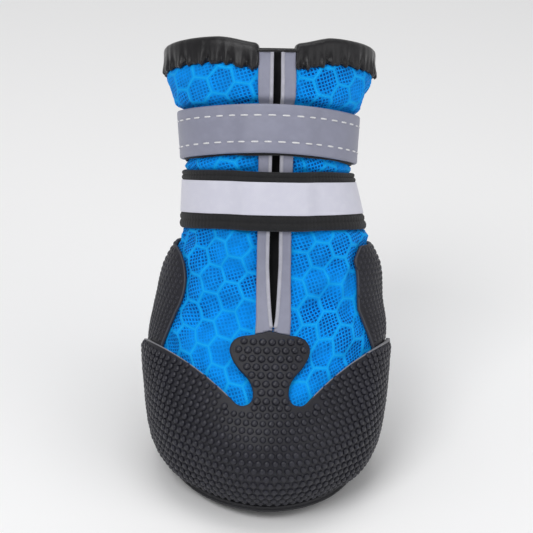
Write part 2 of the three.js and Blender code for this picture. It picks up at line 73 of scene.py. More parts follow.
sections = np.array(
    [
        (y * boot["footLength"], z * boot["instepHeight"], d * boot["footLength"], t,
         w * boot["ballWidth"] / 2)
        for y, z, d, t, w in footRows
    ]
    + [
        (footRows[-1][0] * boot["footLength"] + s * boot["shaftSetback"],
         boot["instepHeight"] + r * boot["shaftRise"], d * boot["collarDepth"], t,
         w * boot["collarWidth"] / 2)
        for r, s, d, t, w in shaftRows
    ]
)
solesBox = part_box("outsole")
shiftY = (solesBox[0][1] + solesBox[1][1]) / 2 / mm + 0.0045 * boot["footLength"]
shaftLength = math.hypot(boot["shaftRise"], boot["shaftSetback"])


def unit(vectors):
    return vectors / np.linalg.norm(vectors, axis=-1, keepdims=True)


def lengthsAlong(points):  # from the first point to each, along the line they make
    return np.concatenate([[0], np.cumsum(np.linalg.norm(np.diff(points, axis=0), axis=-1))])


def sectionAt(row):
    row = np.asarray(row, float)
    last = len(sections) - 1
    i = np.clip(np.floor(row).astype(int), 0, last - 1)
    first, end = 2 * sections[0] - sections[1], 2 * sections[-1] - sections[-2]
    padded = np.vstack([first, sections, end])
    a, b, c, d = (padded[i + k] for k in range(4))
    f = (row - i)[..., None]
    curve = (2 * b + (c - a) * f + (2 * a - 5 * b + 4 * c - d) * f**2 + (3 * b - a - 3 * c + d) * f**3) / 2
    low = sections[0] + (sections[1] - first) / 2 * f
    high = sections[-1] + (end - sections[-2]) / 2 * (f - 1)
    return np.where(f < 0, low, np.where(f > 1, high, curve))


def smoothstep(x, low, high):
    share = np.clip((np.asarray(x, float) - low) / (high - low), 0, 1)
    return share * share * (3 - 2 * share)


def springAt(y):
    ahead = (-y / boot["footLength"] - boot["springStart"]) / (0.5 - boot["springStart"])
    return boot["toeSpring"] * np.clip(ahead, 0, 1.2) ** 2


# how the worn cloth leans to the boot's left of its pattern: the split, the ankle and the ankle's swell
lean = {"split": 1.0, "ankle": 0.9, "swell": 1.9, "rounder": 0.2}


def powerAt(row):  # rounder towards the sole
    return 2 / (boot["squareness"] - lean["rounder"] * (1 - smoothstep(row, 0, 3.5)))


def outFromSplit(row, angle):  # millimetres sideways from the split, as the pattern has it
    side = np.sign(np.sin(angle)) * np.abs(np.sin(angle)) ** powerAt(row)
    return sectionAt(row)[..., 4] * side


def leanAt(row, angle):
    side, ahead = np.sin(angle), smoothstep(np.cos(angle), 0, 0.4)
    beside = smoothstep(np.abs(side), 0.3, 0.9)
    front = lean["split"] * smoothstep(row, 4.5, 6) * (1 - beside) * ahead
    ankle = lean["ankle"] * smoothstep(row, 4, 5.5) * (1 - smoothstep(row, 8, 9.6))
    swell = smoothstep(row, 5.6, 7.6) * (1 - smoothstep(row, 7.9, 9.3)) * smoothstep(side, 0.35, 0.95)
    return front + ankle * (1 - (1 - beside) * ahead) + lean["swell"] * swell


def skin(row, angle):  # outside of the upper, in millimetres, before the shift
    row, angle = np.broadcast_arrays(np.asarray(row, float), np.asarray(angle, float))
    y, z, depth, tilt, _ = np.moveaxis(sectionAt(row), -1, 0)
    tilt = np.radians(tilt)
    along = -np.sign(np.cos(angle)) * np.abs(np.cos(angle)) ** powerAt(row)
    reach = (along + 1) / 2 * depth
    px = outFromSplit(row, angle) + leanAt(row, angle)
    py = y + reach * np.cos(tilt)
    pz = z - reach * np.sin(tilt)
    footZ = sections[0][1]
    pz = pz + springAt(py) * np.clip((boot["instepHeight"] - pz) / (boot["instepHeight"] - footZ), 0, 1)
    return np.stack([px, py, pz], -1)


def normalAt(row, angle):
    step = 0.02
    around = skin(row, angle + step) - skin(row, angle - step)
    up = skin(row + step, angle) - skin(row - step, angle)
    normal = unit(np.cross(around, up))
    normal[..., 2] *= smoothstep(row, 0, 1.2)  # level at the sole
    return unit(normal)


def offsetSkin(row, angle, out):
    row, angle, out = np.broadcast_arrays(*(np.asarray(v, float) for v in (row, angle, out)))
    return skin(row, angle) + normalAt(row, angle) * out[..., None]


def toWorld(points):  # millimetres to metres, in the frame
    moved = np.array(points, float)
    moved[..., 1] += shiftY
    return moved * mm


def fromFront(angle):
    return np.abs(np.arctan2(np.sin(angle), np.cos(angle)))


rimLook = {"front": -0.2, "beside": 0.24, "back": 0.14, "dip": 0.15}  # in rows


def rimAt(angle):  # the row of the collar's rim, lower at the split, the sides and the back
    near = fromFront(angle)
    dip = smoothstep(near, 0.6, 1.5) * (1 - smoothstep(near, 1.5, 2.5))
    rim = rimRow + rimLook["front"] + rimLook["beside"] * smoothstep(near, 0.15, 0.6)
    return rim - rimLook["back"] * smoothstep(near, 0.9, 2.4) - rimLook["dip"] * dip


# heights up the drawing plane, which is seen from in front and above
def upOf(point):
    return point[..., 1] * math.sin(boot["drawingTilt"]) + point[..., 2] * math.cos(boot["drawingTilt"])


lowestUp = float(np.min(upOf(offsetSkin(np.linspace(0, 2, 21), 0, 1.95))))
capEdge = [  # out, up, bend out, bend up
    (0, 0.987, 0, 0.987), (0.187, 0.961, 0.085, 0.97), (0.353, 0.874, 0.345, 0.957),
    (0.235, 0.75, 0.335, 0.81), (0.153, 0.63, 0.153, 0.7), (0.25, 0.57, 0.16, 0.57),
    (0.325, 0.598, 0.29, 0.57), (1.117, 0.94, 0.69, 0.835),
]
wingEdge = [
    (0.977, 0.837, 0.977, 0.837), (0.82, 1.1, 0.94, 0.92), (0.743, 1.283, 0.743, 1.19),
    (0.81, 1.46, 0.745, 1.38), (0.887, 1.554, 0.85, 1.51),
]


def edgeCurve(edge, steps=12):  # the drawn edge in millimetres, right half, from the table's first row out
    scale = np.array([boot["ballWidth"] / 2, boot["instepHeight"]])
    rows = [(np.array([o, u]) * scale, np.array([bo, bu]) * scale) for o, u, bo, bu in edge]
    points = [rows[0][0]]
    for (start, _), (end, bend) in zip(rows, rows[1:]):
        for t in np.linspace(0, 1, steps + 1)[1:]:
            points.append((1 - t) ** 2 * start + 2 * t * (1 - t) * bend + t * t * end)
    return np.array(points) + [0, lowestUp]


# meshes from arrays
def makeObject(name, points, faces, uv=None):
    mesh = bpy.data.meshes.new(name)
    mesh.from_pydata([tuple(p) for p in points], [], [tuple(f) for f in faces])
    if uv is not None:
        layer = mesh.uv_layers.new(name="cloth")
        loops = np.zeros(len(mesh.loops), int)
        mesh.loops.foreach_get("vertex_index", loops)
        layer.data.foreach_set("uv", np.asarray(uv, float)[loops].ravel())
    mesh.polygons.foreach_set("use_smooth", [True] * len(mesh.polygons))
    mesh.update()
    made = bpy.data.objects.new(name, mesh)
    scene.collection.objects.link(made)
    return made


def gridFaces(rows, columns, closed=False, start=0):
    j, i = np.meshgrid(np.arange(rows - 1), np.arange(columns if closed else columns - 1), indexing="ij")
    own, beside = j * columns + i, j * columns + (i + 1) % columns
    return np.stack([own, beside, beside + columns, own + columns], -1).reshape(-1, 4) + start


def stackFaces(start, rings, sides):  # walls between rings of points, with a flat face at each end
    walls = [tuple(f) for f in gridFaces(rings, sides, closed=True, start=start)]
    last = start + (rings - 1) * sides
    return walls + [tuple(range(start + sides - 1, start - 1, -1)), tuple(range(last, last + sides))]


def editMesh(made, change):
    work = bmesh.new()
    work.from_mesh(made.data)
    change(work)
    work.to_mesh(made.data)
    work.free()
    return made


def outward(made):  # faces turned to point out
    return editMesh(made, lambda work: bmesh.ops.recalc_face_normals(work, faces=work.faces))


def finishPiece(made, material, nodes):
    for one in material if isinstance(material, (list, tuple)) else [material]:
        made.data.materials.append(one)
    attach(made, "root")
    if nodes:
        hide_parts(*nodes)
    return made


def rowsAlong(length):  # the row that stands so far up the shaft's front
    rows = np.linspace(0, rimRow + 1, 1500)
    slope = shaftLength / boot["shaftRise"]
    return np.interp(boot["instepHeight"] + np.asarray(length, float) / slope, sectionAt(rows)[:, 1], rows)


def lengthUp(row):  # how far up the shaft's front a row stands
    return (sectionAt(row)[..., 1] - boot["instepHeight"]) * shaftLength / boot["shaftRise"]


# tables of the cloth's lengths, up the front and round each row
rowTable = np.linspace(-0.2, rimRow + 1, 600)
frontLengths = lengthsAlong(skin(rowTable, 0.9))
aroundTable = np.linspace(0, math.pi, 181)
ringPoints = skin(np.linspace(0, rimRow + 1, 121)[:, None], aroundTable[None])
ringLengths = np.cumsum(np.linalg.norm(np.diff(ringPoints, axis=1), axis=-1), axis=1)
ringLengths = np.hstack([np.zeros((121, 1)), ringLengths])


def readGrid(grid, down, across):  # a table's value at shares of its height and width
    y = np.clip(down * (grid.shape[0] - 1), 0, grid.shape[0] - 1.001)
    x = np.clip(across * (grid.shape[1] - 1), 0, grid.shape[1] - 1.001)
    j, i = y.astype(int), x.astype(int)
    fy, fx = y - j, x - i
    low = grid[j, i] * (1 - fx) + grid[j, i + 1] * fx
    high = grid[j + 1, i] * (1 - fx) + grid[j + 1, i + 1] * fx
    return low * (1 - fy) + high * fy


clothStart = (400, 200)  # keeps the cloth's coordinates well above zero


def clothUv(row, angle):  # millimetres round from the front and up from the foot edge
    around = readGrid(ringLengths, np.asarray(row) / (rimRow + 1), np.abs(angle) / math.pi)
    up = np.interp(row, rowTable, frontLengths)
    return np.stack([np.sign(angle) * around + clothStart[0], up + clothStart[1]], -1)


# drawn openings, and how far a point seen from in front is outside one
def openingOutline(edge, clear=0):
    right = edgeCurve(edge) + [0, clear]
    farUp = right[-1, 1] + 2 * boot["shaftRise"]
    farOut = right[-1, 0] if edge[0][0] > 0 else boot["ballWidth"]
    outline = [*right, (farOut, farUp), (-farOut, farUp), *(right[::-1] * [-1, 1])]
    if edge[0][0] > 0:
        low = lowestUp - boot["instepHeight"]
        outline += [(-right[0, 0], low), (right[0, 0], low)]
    return np.array(outline)


def outsideBy(outline, points):  # distance to a closed outline, negative inside it
    px, py = points[:, 0], points[:, 1]
    best = np.full(len(points), 1e9)
    inside = np.zeros(len(points), bool)
    for (ax, ay), (bx, by) in zip(outline, np.roll(outline, -1, axis=0)):
        dx, dy = bx - ax, by - ay
        size = dx * dx + dy * dy
        if size < 1e-12:
            continue
        t = np.clip(((px - ax) * dx + (py - ay) * dy) / size, 0, 1)
        best = np.minimum(best, np.hypot(px - ax - t * dx, py - ay - t * dy))
        if ay != by:
            crosses = (ay > py) != (by > py)
            inside ^= crosses & (px < (bx - ax) * (py - ay) / (by - ay) + ax)
    return np.where(inside, -best, best)


def seen(points):
    return np.stack([points[:, 0], upOf(points)], -1)


def nearOf(points):
    return points[..., 2] * math.sin(boot["drawingTilt"]) - points[..., 1] * math.cos(boot["drawingTilt"])


capOutline, wingOutline = openingOutline(capEdge), openingOutline(wingEdge)
capSize = {"thick": 1.25, "rear": 0.17, "rearLean": 0.22, "top": 7, "reach": math.radians(120)}
counterSize = {"thick": 1.0, "top": 7.75, "forward": math.radians(50)}
counterPlane = nearOf((skin(7.75, 0) + skin(7.75, math.pi)) / 2)


def capLift(angle):  # the cap rides over the counter's wings
    over = smoothstep(fromFront(angle), math.radians(38), math.radians(58))
    return (counterSize["thick"] + boot["gap"]) * over


def capField(row, angle):  # millimetres inside the cap's edge, negative outside
    points = offsetSkin(row, angle, boot["gap"] + capSize["thick"] + capLift(angle))
    rear = capSize["rear"] * boot["footLength"] - capSize["rearLean"] * points[:, 2] - points[:, 1]
    return np.minimum(outsideBy(capOutline, seen(points)), rear)


def counterField(row, angle):
    points = offsetSkin(row, angle, boot["gap"] + counterSize["thick"])
    drawn = np.maximum(outsideBy(wingOutline, seen(points)), counterPlane - nearOf(points))
    return np.minimum(drawn, (counterSize["top"] - row) * 8)


# cutting a triangle mesh along a level of a field
def splitAt(values, triangles, field, level):
    values, field = [np.asarray(v) for v in values], list(field)
    side = [0 if abs(f - level) < 1e-6 else (1 if f > level else -1) for f in field]
    made, kept = {}, []

    def between(a, b):
        key = (a, b) if a < b else (b, a)
        if key not in made:
            t = (level - field[a]) / (field[b] - field[a])
            made[key] = len(values)
            values.append(values[a] + (values[b] - values[a]) * t)
            field.append(level)
            side.append(0)
        return made[key]

    for tri in triangles:
        signs = [side[i] for i in tri]
        if min(signs) >= 0 or max(signs) <= 0:
            kept.append(tuple(tri))
            continue
        if 0 in signs:
            k = signs.index(0)
            a, b, c = tri[k], tri[(k + 1) % 3], tri[(k + 2) % 3]
            m = between(b, c)
            kept += [(a, b, m), (a, m, c)]
            continue
        k = next(k for k in range(3) if signs.count(signs[k]) == 1)
        a, b, c = tri[k], tri[(k + 1) % 3], tri[(k + 2) % 3]
        m, n = between(a, b), between(c, a)
        kept += [(a, m, n), (m, b, c), (m, c, n)]
    return np.array(values), kept, np.array(field)


def dropOutside(triangles, field, level=0):
    return [t for t in triangles if max(field[i] for i in t) > level + 1e-6]


def boundaryEdges(triangles):
    count = {}
    for a, b, c in triangles:
        for p, q in ((a, b), (b, c), (c, a)):
            key = (p, q) if p < q else (q, p)
            count[key] = (p, q) if key not in count else None
    return [edge for edge in count.values() if edge]


def gridTriangles(rows, columns):
    quads = gridFaces(rows, columns)
    return [t for a, b, c, d in quads for t in ((a, b, c), (a, c, d))]


def closeShell(name, params, triangles, inner, outer, uv=None, seam=False, band=None):
    # inner and outer are points in millimetres; the rim faces that join them get material 1, the inside 2
    used = sorted({i for t in triangles for i in t})
    index = {v: k for k, v in enumerate(used)}
    tris = [tuple(index[i] for i in t) for t in triangles]
    n = len(used)
    faces = list(tris) + [(a + n, c + n, b + n) for a, b, c in tris]
    rim = boundaryEdges(tris)
    if seam:
        back = np.abs(np.abs(params[used, 0]) - math.pi) < 1e-9
        rim = [(p, q) for p, q in rim if not (back[p] and back[q])]
    faces += [(q, p, p + n, q + n) for p, q in rim]
    points = toWorld(np.vstack([outer[used], inner[used]]))
    made = makeObject(name, points, faces, None if uv is None else np.vstack([uv[used], uv[used]]))
    front = [0] * len(tris) if band is None else [int(all(band[i] for i in t)) for t in triangles]
    made.data.polygons.foreach_set("material_index", front + [2] * len(tris) + [1] * len(rim))
    if seam:
        editMesh(made, lambda work: bmesh.ops.remove_doubles(work, verts=work.verts, dist=0.00001))
    return outward(made)


def edgeDistances(positions, triangles):  # millimetres from each point to the sheet's edge
    spots = [
        positions[p] * (1 - t) + positions[q] * t
        for p, q in boundaryEdges(triangles) for t in (0, 0.25, 0.5, 0.75, 1)
    ]
    tree = KDTree(len(spots))
    for k, spot in enumerate(spots):
        tree.insert(spot, k)
    tree.balance()
    used = {i for t in triangles for i in t}
    return np.array([tree.find(p)[2] if k in used else 99.0 for k, p in enumerate(positions)])


rolledShare = 0.45  # how much of a rolled edge takes the cut edge's material
lowestDots = 0.12  # the row that the dots start above


def trimmedShell(name, rows, angles, fieldAt, innerAt, thick, roll):
    # a skin patch cut to a field, with rolled edges; rows and angles are the grid's lines
    angle, row = (v.ravel() for v in np.meshgrid(angles, rows))
    params, triangles = np.stack([angle, row], -1), gridTriangles(len(rows), len(angles))
    params, triangles, field = splitAt(params, triangles, fieldAt(row, angle), 0)
    triangles = dropOutside(triangles, field)
    angle, row = params.T
    inward = edgeDistances(offsetSkin(row, angle, innerAt(angle) + thick / 2), triangles)
    for share in (0.12, rolledShare, 1):
        params, triangles, inward = splitAt(params, triangles, inward, share * roll)
    angle, row = params.T
    t = np.clip(inward / roll, 0, 1)
    half = thick / 2 * (0.62 + 0.38 * np.sqrt(1 - (1 - t) ** 2))
    outer, inner = (offsetSkin(row, angle, innerAt(angle) + thick / 2 + out) for out in (half, -half))
    band = inward <= rolledShare * roll + 1e-6
    return closeShell(name, params, triangles, inner, outer, clothUv(row, angle), band=band)


def dotRows(fieldAt, outAt, top, angleRange, pitch, margin):
    # row and angle of each dot, in offset rows over a skin patch, the same on both sides
    spots = []
    rows = np.linspace(lowestDots, top, 800)
    lengths = lengthsAlong(offsetSkin(rows, 0.9, 0))
    for k, length in enumerate(np.arange(pitch * 0.5, lengths[-1], pitch * 0.866)):
        row = float(np.interp(length, lengths, rows))
        angles = np.linspace(0, angleRange[1], 700)
        along = lengthsAlong(offsetSkin(row, angles, outAt(angles)))
        for at in np.arange(0 if k % 2 == 0 else pitch / 2, along[-1], pitch):
            angle = float(np.interp(at, along, angles))
            if angle >= angleRange[0]:
                spots += [(row, one) for one in {angle, -angle}]
    spots = np.array(spots)
    return spots[fieldAt(spots[:, 0], spots[:, 1]) > margin]


def domes(points, normals, radius, height, sides=8, sink=0.25, seed=3):
    # closed low domes, one per point, as joined loose parts: points and faces
    chance = random.Random(seed)
    allPoints, allFaces = [], []
    for centre, normal in zip(points, normals):
        centre, n = Vector(centre), Vector(normal).normalized()
        side = n.cross(Vector((0, 0, 1)) if abs(n.z) < 0.9 else Vector((1, 0, 0))).normalized()
        other = n.cross(side)
        r, h = radius * chance.uniform(0.93, 1.05), height * chance.uniform(0.9, 1.06)
        start, spin = len(allPoints), chance.uniform(0, 1)
        for share, lift in ((0.8, -sink), (1, 0), (0.86, 0.55 * h), (0.5, 0.92 * h)):
            for k in range(sides):
                a = turn * (k + spin) / sides
                allPoints.append(centre + (side * math.cos(a) + other * math.sin(a)) * r * share + n * lift)
        allPoints += [centre + n * h, centre - n * sink]
        allFaces += [tuple(f) for f in gridFaces(4, sides, closed=True, start=start)]
        last, top = start + 3 * sides, start + 4 * sides
        for k in range(sides):
            after = (k + 1) % sides
            allFaces += [(last + k, last + after, top), (start + after, start + k, top + 1)]
    return np.array([tuple(p) for p in allPoints]), allFaces


def addDots(made, spots, out, radius, height, **more):  # raised dots on a skin patch, as material 3
    places, normals = offsetSkin(spots[:, 0], spots[:, 1], out), normalAt(spots[:, 0], spots[:, 1])
    addLooseParts(made, *domes(places, normals, radius, height, **more), 3)


def addLooseParts(made, points, faces, materialIndex=0):  # points in millimetres
    extra = bpy.data.meshes.new("loose")
    extra.from_pydata([tuple(p) for p in toWorld(points)], [], faces)
    extra.polygons.foreach_set("use_smooth", [True] * len(extra.polygons))
    extra.polygons.foreach_set("material_index", [materialIndex] * len(extra.polygons))
    editMesh(made, lambda work: work.from_mesh(extra))
    bpy.data.meshes.remove(extra)
    return made


# material helpers
def setInputs(tree, made, inputs):
    for key, value in inputs.items():
        if isinstance(value, bpy.types.NodeSocket):
            tree.links.new(value, made.inputs[key])
        else:
            made.inputs[key].default_value = value


def node(tree, kind, inputs=None, **settings):
    made = tree.nodes.new(kind)
    for key, value in settings.items():
        setattr(made, key, value)
    setInputs(tree, made, inputs or {})
    return made


def calc(tree, operation, a, b=0.0, c=0.0):
    return node(tree, "ShaderNodeMath", {0: a, 1: b, 2: c}, operation=operation).outputs[0]


def times(tree, a, b):
    return calc(tree, "MULTIPLY", a, b)


def timesPlus(tree, a, b, c):
    return calc(tree, "MULTIPLY_ADD", a, b, c)


def vectorCalc(tree, operation, a, b=(0, 0, 0), c=(0, 0, 0), out=0):
    return node(tree, "ShaderNodeVectorMath", {0: a, 1: b, 2: c}, operation=operation).outputs[out]


def blendColours(tree, factor, one, other):
    one, other = (v if isinstance(v, bpy.types.NodeSocket) else (*v, 1) for v in (one, other))
    return node(tree, "ShaderNodeMix", {0: factor, 6: one, 7: other}, data_type="RGBA").outputs[2]


def ramp(tree, value, low, high):
    inputs = {0: value, 1: low, 2: high, 3: 0.0, 4: 1.0}
    return node(tree, "ShaderNodeMapRange", inputs, interpolation_type="SMOOTHSTEP").outputs[0]


def newMaterial(name, roughness=0.6, sheen=0.0, specular=0.5):
    material = bpy.data.materials.new(name)
    material.use_nodes = True
    tree = material.node_tree
    shader = next(n for n in tree.nodes if n.type == "BSDF_PRINCIPLED")
    setInputs(tree, shader, {"Roughness": roughness, "Sheen Weight": sheen, "Specular IOR Level": specular})
    return material, tree, shader


def clothPlace(tree):
    return node(tree, "ShaderNodeUVMap", uv_map="cloth").outputs[0]


def noise(tree, place, scale, detail=3.0, rough=0.55, out=0):
    inputs = {"Vector": place, "Scale": scale, "Detail": detail, "Roughness": rough}
    return node(tree, "ShaderNodeTexNoise", inputs).outputs[out]


def bump(tree, shader, height, strength, distance):
    made = node(tree, "ShaderNodeBump", {"Height": height, "Strength": strength, "Distance": distance})
    setInputs(tree, shader, {"Normal": made.outputs[0]})


def weave(tree, place, pitchU, pitchV):  # woven threads, 0 to 1
    parts = node(tree, "ShaderNodeSeparateXYZ", {0: place}).outputs
    u = calc(tree, "SINE", times(tree, parts[0], turn / pitchU))
    v = calc(tree, "SINE", times(tree, parts[1], turn / pitchV))
    return timesPlus(tree, times(tree, u, v), 0.5, 0.5)


hexTall = math.sqrt(3)  # a cell's own height to its width, and the way to its middle
hexMiddle = (0.5, hexTall / 2)


def hexField(tree, place, pitch):  # 0 at a honeycomb cell's border, 0.5 at its middle
    def toMiddle(at):
        return vectorCalc(tree, "SUBTRACT", vectorCalc(tree, "MODULO", at, (1, hexTall, 1)), (*hexMiddle, 0))

    scaled = vectorCalc(tree, "MULTIPLY", place, (1 / pitch, 1 / pitch, 0))
    one, other = toMiddle(scaled), toMiddle(vectorCalc(tree, "SUBTRACT", scaled, (*hexMiddle, 0)))
    nearer = calc(tree, "LESS_THAN", *(vectorCalc(tree, "DOT_PRODUCT", v, v, out=1) for v in (one, other)))
    picked = node(tree, "ShaderNodeMix", {0: nearer, 4: other, 5: one}, data_type="VECTOR").outputs[1]
    folded = vectorCalc(tree, "ABSOLUTE", picked)
    slanted = vectorCalc(tree, "DOT_PRODUCT", folded, (*hexMiddle, 0), out=1)
    flat = node(tree, "ShaderNodeSeparateXYZ", {0: folded}).outputs[0]
    return calc(tree, "SUBTRACT", 0.5, calc(tree, "MAXIMUM", slanted, flat))


def hexDepth(uv, pitch):  # the same field in numbers
    scaled = uv / pitch
    one = np.mod(scaled, [1, hexTall]) - hexMiddle
    other = np.mod(scaled - hexMiddle, [1, hexTall]) - hexMiddle
    nearer = (one**2).sum(-1) < (other**2).sum(-1)
    folded = np.abs(np.where(nearer[..., None], one, other))
    return 0.5 - np.maximum(folded @ hexMiddle, folded[..., 0])


# blue sandwich mesh: honeycomb of plain knit borders round cells of fine holes, the holes painted dark as
# shade
meshLook = {
    "cell": 7.1, "lean": 8, "narrow": 1.14, "wander": 1.6, "hole": 0.92, "holeTurn": 26, "knit": 0.56,
    "border": (0.0, 0.34, 0.9), "line": (0.02, 0.5, 0.88), "thread": (0.0, 0.255, 0.8),
    "dark": (0.0, 0.028, 0.19), "borderHalf": 0.54, "reliefBorder": 0.18,
}


def cosSin(degrees):
    return math.cos(math.radians(degrees)), math.sin(math.radians(degrees))


def cellPlace(uv):  # the honeycomb's own axes: turned a little, up first
    c, s = cosSin(meshLook["lean"])
    level = (uv[:, 0] * c - uv[:, 1] * s) * meshLook["narrow"] + 100
    return np.stack([uv[:, 0] * s + uv[:, 1] * c + 100, level], -1)


def makeMeshMaterial():
    material, tree, shader = newMaterial("blue_mesh", roughness=0.8, specular=0.12)
    place = clothPlace(tree)
    wander = vectorCalc(tree, "SUBTRACT", noise(tree, place, 0.1, 2.0, 0.5, 1), (0.5, 0.5, 0.5))
    amount = (meshLook["wander"], meshLook["wander"], 0)
    moved = vectorCalc(tree, "MULTIPLY_ADD", wander, amount, place)
    parts = node(tree, "ShaderNodeSeparateXYZ", {0: moved}).outputs
    c, s = cosSin(meshLook["lean"])
    up = timesPlus(tree, parts[1], c, timesPlus(tree, parts[0], s, 100.0))
    level = timesPlus(tree, parts[0], c, times(tree, parts[1], -s))
    side = timesPlus(tree, level, meshLook["narrow"], 100.0)
    own = node(tree, "ShaderNodeCombineXYZ", {0: up, 1: side, 2: 0.0}).outputs[0]
    depth = times(tree, hexField(tree, own, meshLook["cell"]), meshLook["cell"])  # millimetres
    inside = ramp(tree, depth, meshLook["borderHalf"] * 0.75, meshLook["borderHalf"] * 1.35)
    line = calc(tree, "SUBTRACT", 1.0, ramp(tree, depth, 0.06, 0.26))
    gaps = []
    c, s = cosSin(meshLook["holeTurn"])
    for along, off in ((c, s), (-s, c)):
        value = timesPlus(tree, level, along, timesPlus(tree, up, off, 500.0))
        wave = calc(tree, "PINGPONG", calc(tree, "DIVIDE", value, meshLook["hole"]), 0.5)
        gaps.append(ramp(tree, wave, 0.16, 0.27))
    shown = timesPlus(tree, ramp(tree, noise(tree, place, 0.055, 2), 0.38, 0.62), 0.75, 0.25)
    hole = times(tree, times(tree, *gaps), times(tree, inside, shown))
    fine = weave(tree, own, meshLook["knit"], meshLook["knit"])
    slow = ramp(tree, noise(tree, place, 0.2, 3), 0.35, 0.65)
    knit = blendColours(tree, slow, meshLook["thread"], tuple(1.3 * x for x in meshLook["thread"]))
    cloth = blendColours(tree, inside, meshLook["border"], knit)
    lined = blendColours(tree, times(tree, line, 0.5), cloth, meshLook["line"])
    threads = blendColours(tree, times(tree, fine, 0.45), lined, meshLook["thread"])
    # the holes are painted dark: painted shade inside the open holes
    colour = blendColours(tree, times(tree, hole, 0.92), threads, meshLook["dark"])
    setInputs(tree, shader, {"Base Color": colour})
    bump(tree, shader, calc(tree, "SUBTRACT", times(tree, fine, 0.4), times(tree, hole, 1.2)), 0.7, 0.0004)
    return material


def makeRubberMaterial(name, colour, roughness):
    material, tree, shader = newMaterial(name, roughness=roughness, specular=0.45)
    place = node(tree, "ShaderNodeTexCoord").outputs["Object"]
    fine = noise(tree, place, 9000, 3)
    dust = times(tree, ramp(tree, noise(tree, place, 140, 4, 0.7), 0.45, 0.75), 0.4)
    lighter = tuple(min(1, c * 1.7 + 0.004) for c in colour)
    uneven = timesPlus(tree, noise(tree, place, 700, 3), 0.2, roughness - 0.1)
    setInputs(tree, shader, {"Base Color": blendColours(tree, dust, colour, lighter), "Roughness": uneven})
    bump(tree, shader, fine, 0.35, 0.00006)
    return material


def makeClothMaterial(name, colour, pitch, roughness=0.85, sheen=0.1, mix=0.45, depth=0.0001, specular=0.4,
                      soil=0.35):
    # a weave of threads with slow changes of shade; pitch in millimetres along and across
    material, tree, shader = newMaterial(name, roughness=roughness, sheen=sheen, specular=specular)
    place = clothPlace(tree)
    threads = weave(tree, place, *pitch)
    slow = ramp(tree, noise(tree, place, 0.35, 4, 0.65), 0.4, 0.7)
    lighter = tuple(min(1, c * 1.5 + 0.006) for c in colour)
    toned = blendColours(tree, times(tree, slow, soil), colour, lighter)
    shaded = blendColours(tree, times(tree, threads, mix), toned, tuple(c * 0.6 for c in colour))
    uneven = timesPlus(tree, slow, 0.12, roughness - 0.06)
    setInputs(tree, shader, {"Base Color": shaded, "Roughness": uneven})
    bump(tree, shader, timesPlus(tree, noise(tree, place, 3.5, 3), 0.6, threads), 0.5, depth)
    return material


blueMesh = makeMeshMaterial()
capRubber = makeRubberMaterial("cap_rubber", (0.005, 0.005, 0.0105), 0.5)
# the dots: the cap's dark rubber painted lighter, a painted highlight on the raised dots, which are also
# glossier
dotRubberPaintedHighlight = makeRubberMaterial("dot_rubber_painted_highlight", (0.0095, 0.0095, 0.0175), 0.36)
soleRubber = makeRubberMaterial("sole_rubber", (0.017, 0.017, 0.021), 0.6)
cutEdge = makeRubberMaterial("cut_edge", (0.2, 0.2, 0.215), 0.7)
darkEdge = makeRubberMaterial("dark_edge", (0.05, 0.05, 0.057), 0.65)
lining = makeClothMaterial("lining_cloth", (0.022, 0.022, 0.025), (0.5, 0.5), roughness=0.95, sheen=0.4)
stretch = makeClothMaterial("stretch_cloth", (0.008, 0.008, 0.01), (0.4, 0.6), roughness=0.9)
greyTape = makeClothMaterial("grey_tape", (0.25, 0.256, 0.335), (0.42, 0.42), roughness=0.5, mix=0.25,
                             depth=0.00005, soil=0.18)
# the folded edges: the grey tape painted lighter, a painted highlight where the rolled edge catches the light
foldTapePaintedHighlight = makeClothMaterial("fold_tape_painted_highlight", (0.4, 0.4, 0.46), (0.42, 0.42), roughness=0.5, mix=0.2,
                             depth=0.00005)
silverTape = makeClothMaterial("silver_tape", (0.64, 0.64, 0.74), (0.42, 0.55), roughness=0.45, mix=0.18,
                               depth=0.00005, soil=0.1)
webbing = makeClothMaterial("black_webbing", (0.008, 0.008, 0.0095), (0.7, 0.5), roughness=0.85, mix=0.5)
gloss = makeClothMaterial("gloss_cloth", (0.0035, 0.003, 0.0045), (0.3, 0.3), roughness=0.34, mix=0.3,
                          depth=0.00003, specular=0.36)
thread = makeClothMaterial("white_thread", (0.8, 0.8, 0.82), (0.25, 0.25), roughness=0.7, mix=0.2)
print("materials made")


# straps: each band's place, and how it climbs over its own start and over the split
strapSizes = {
    "lower": {"up": 0.414 * shaftLength, "backDrop": 0, "width": 15.4, "start": math.radians(150), "way": 1,
              "squeeze": 0, "lean": 0.1, "sideDrop": 0},
    "upper": {"up": 0.673 * shaftLength + 0.8, "backDrop": 1.5, "width": 12.8, "start": math.radians(195),
              "way": -1, "squeeze": -1.5, "lean": 0.45, "sideDrop": 0.9},
}
strapClimb = {"lap": 1.1 + boot["gap"], "lapFrom": turn - math.radians(24), "lapTo": turn - math.radians(3),
              "split": 1.25, "rest": boot["gap"] + 0.15, "stepsPerTurn": 24}


def strapUp(strap, angle):  # height of a strap's middle, up the shaft's front, round the boot
    drop = strap["backDrop"] * (1 - np.cos(angle)) / 2 + strap["sideDrop"] * np.sin(angle) ** 2
    return strap["up"] - drop - strap["lean"] * np.sin(angle)


collarPull = {"by": 1.0, "from": 12.7, "to": 13.6}


def drawIn(row):  # the collar is drawn in a little at the rim
    return -collarPull["by"] * smoothstep(row, collarPull["from"], collarPull["to"])


def squeezeAt(row, angle):  # how far the upper strap presses the shaft in, growing to its top edge
    strap = strapSizes["upper"]
    length = lengthUp(row) - strapUp(strap, angle)
    half = strap["width"] / 2
    return strap["squeeze"] * smoothstep(length, -half, half) * (1 - smoothstep(length, half, half + 2.6))


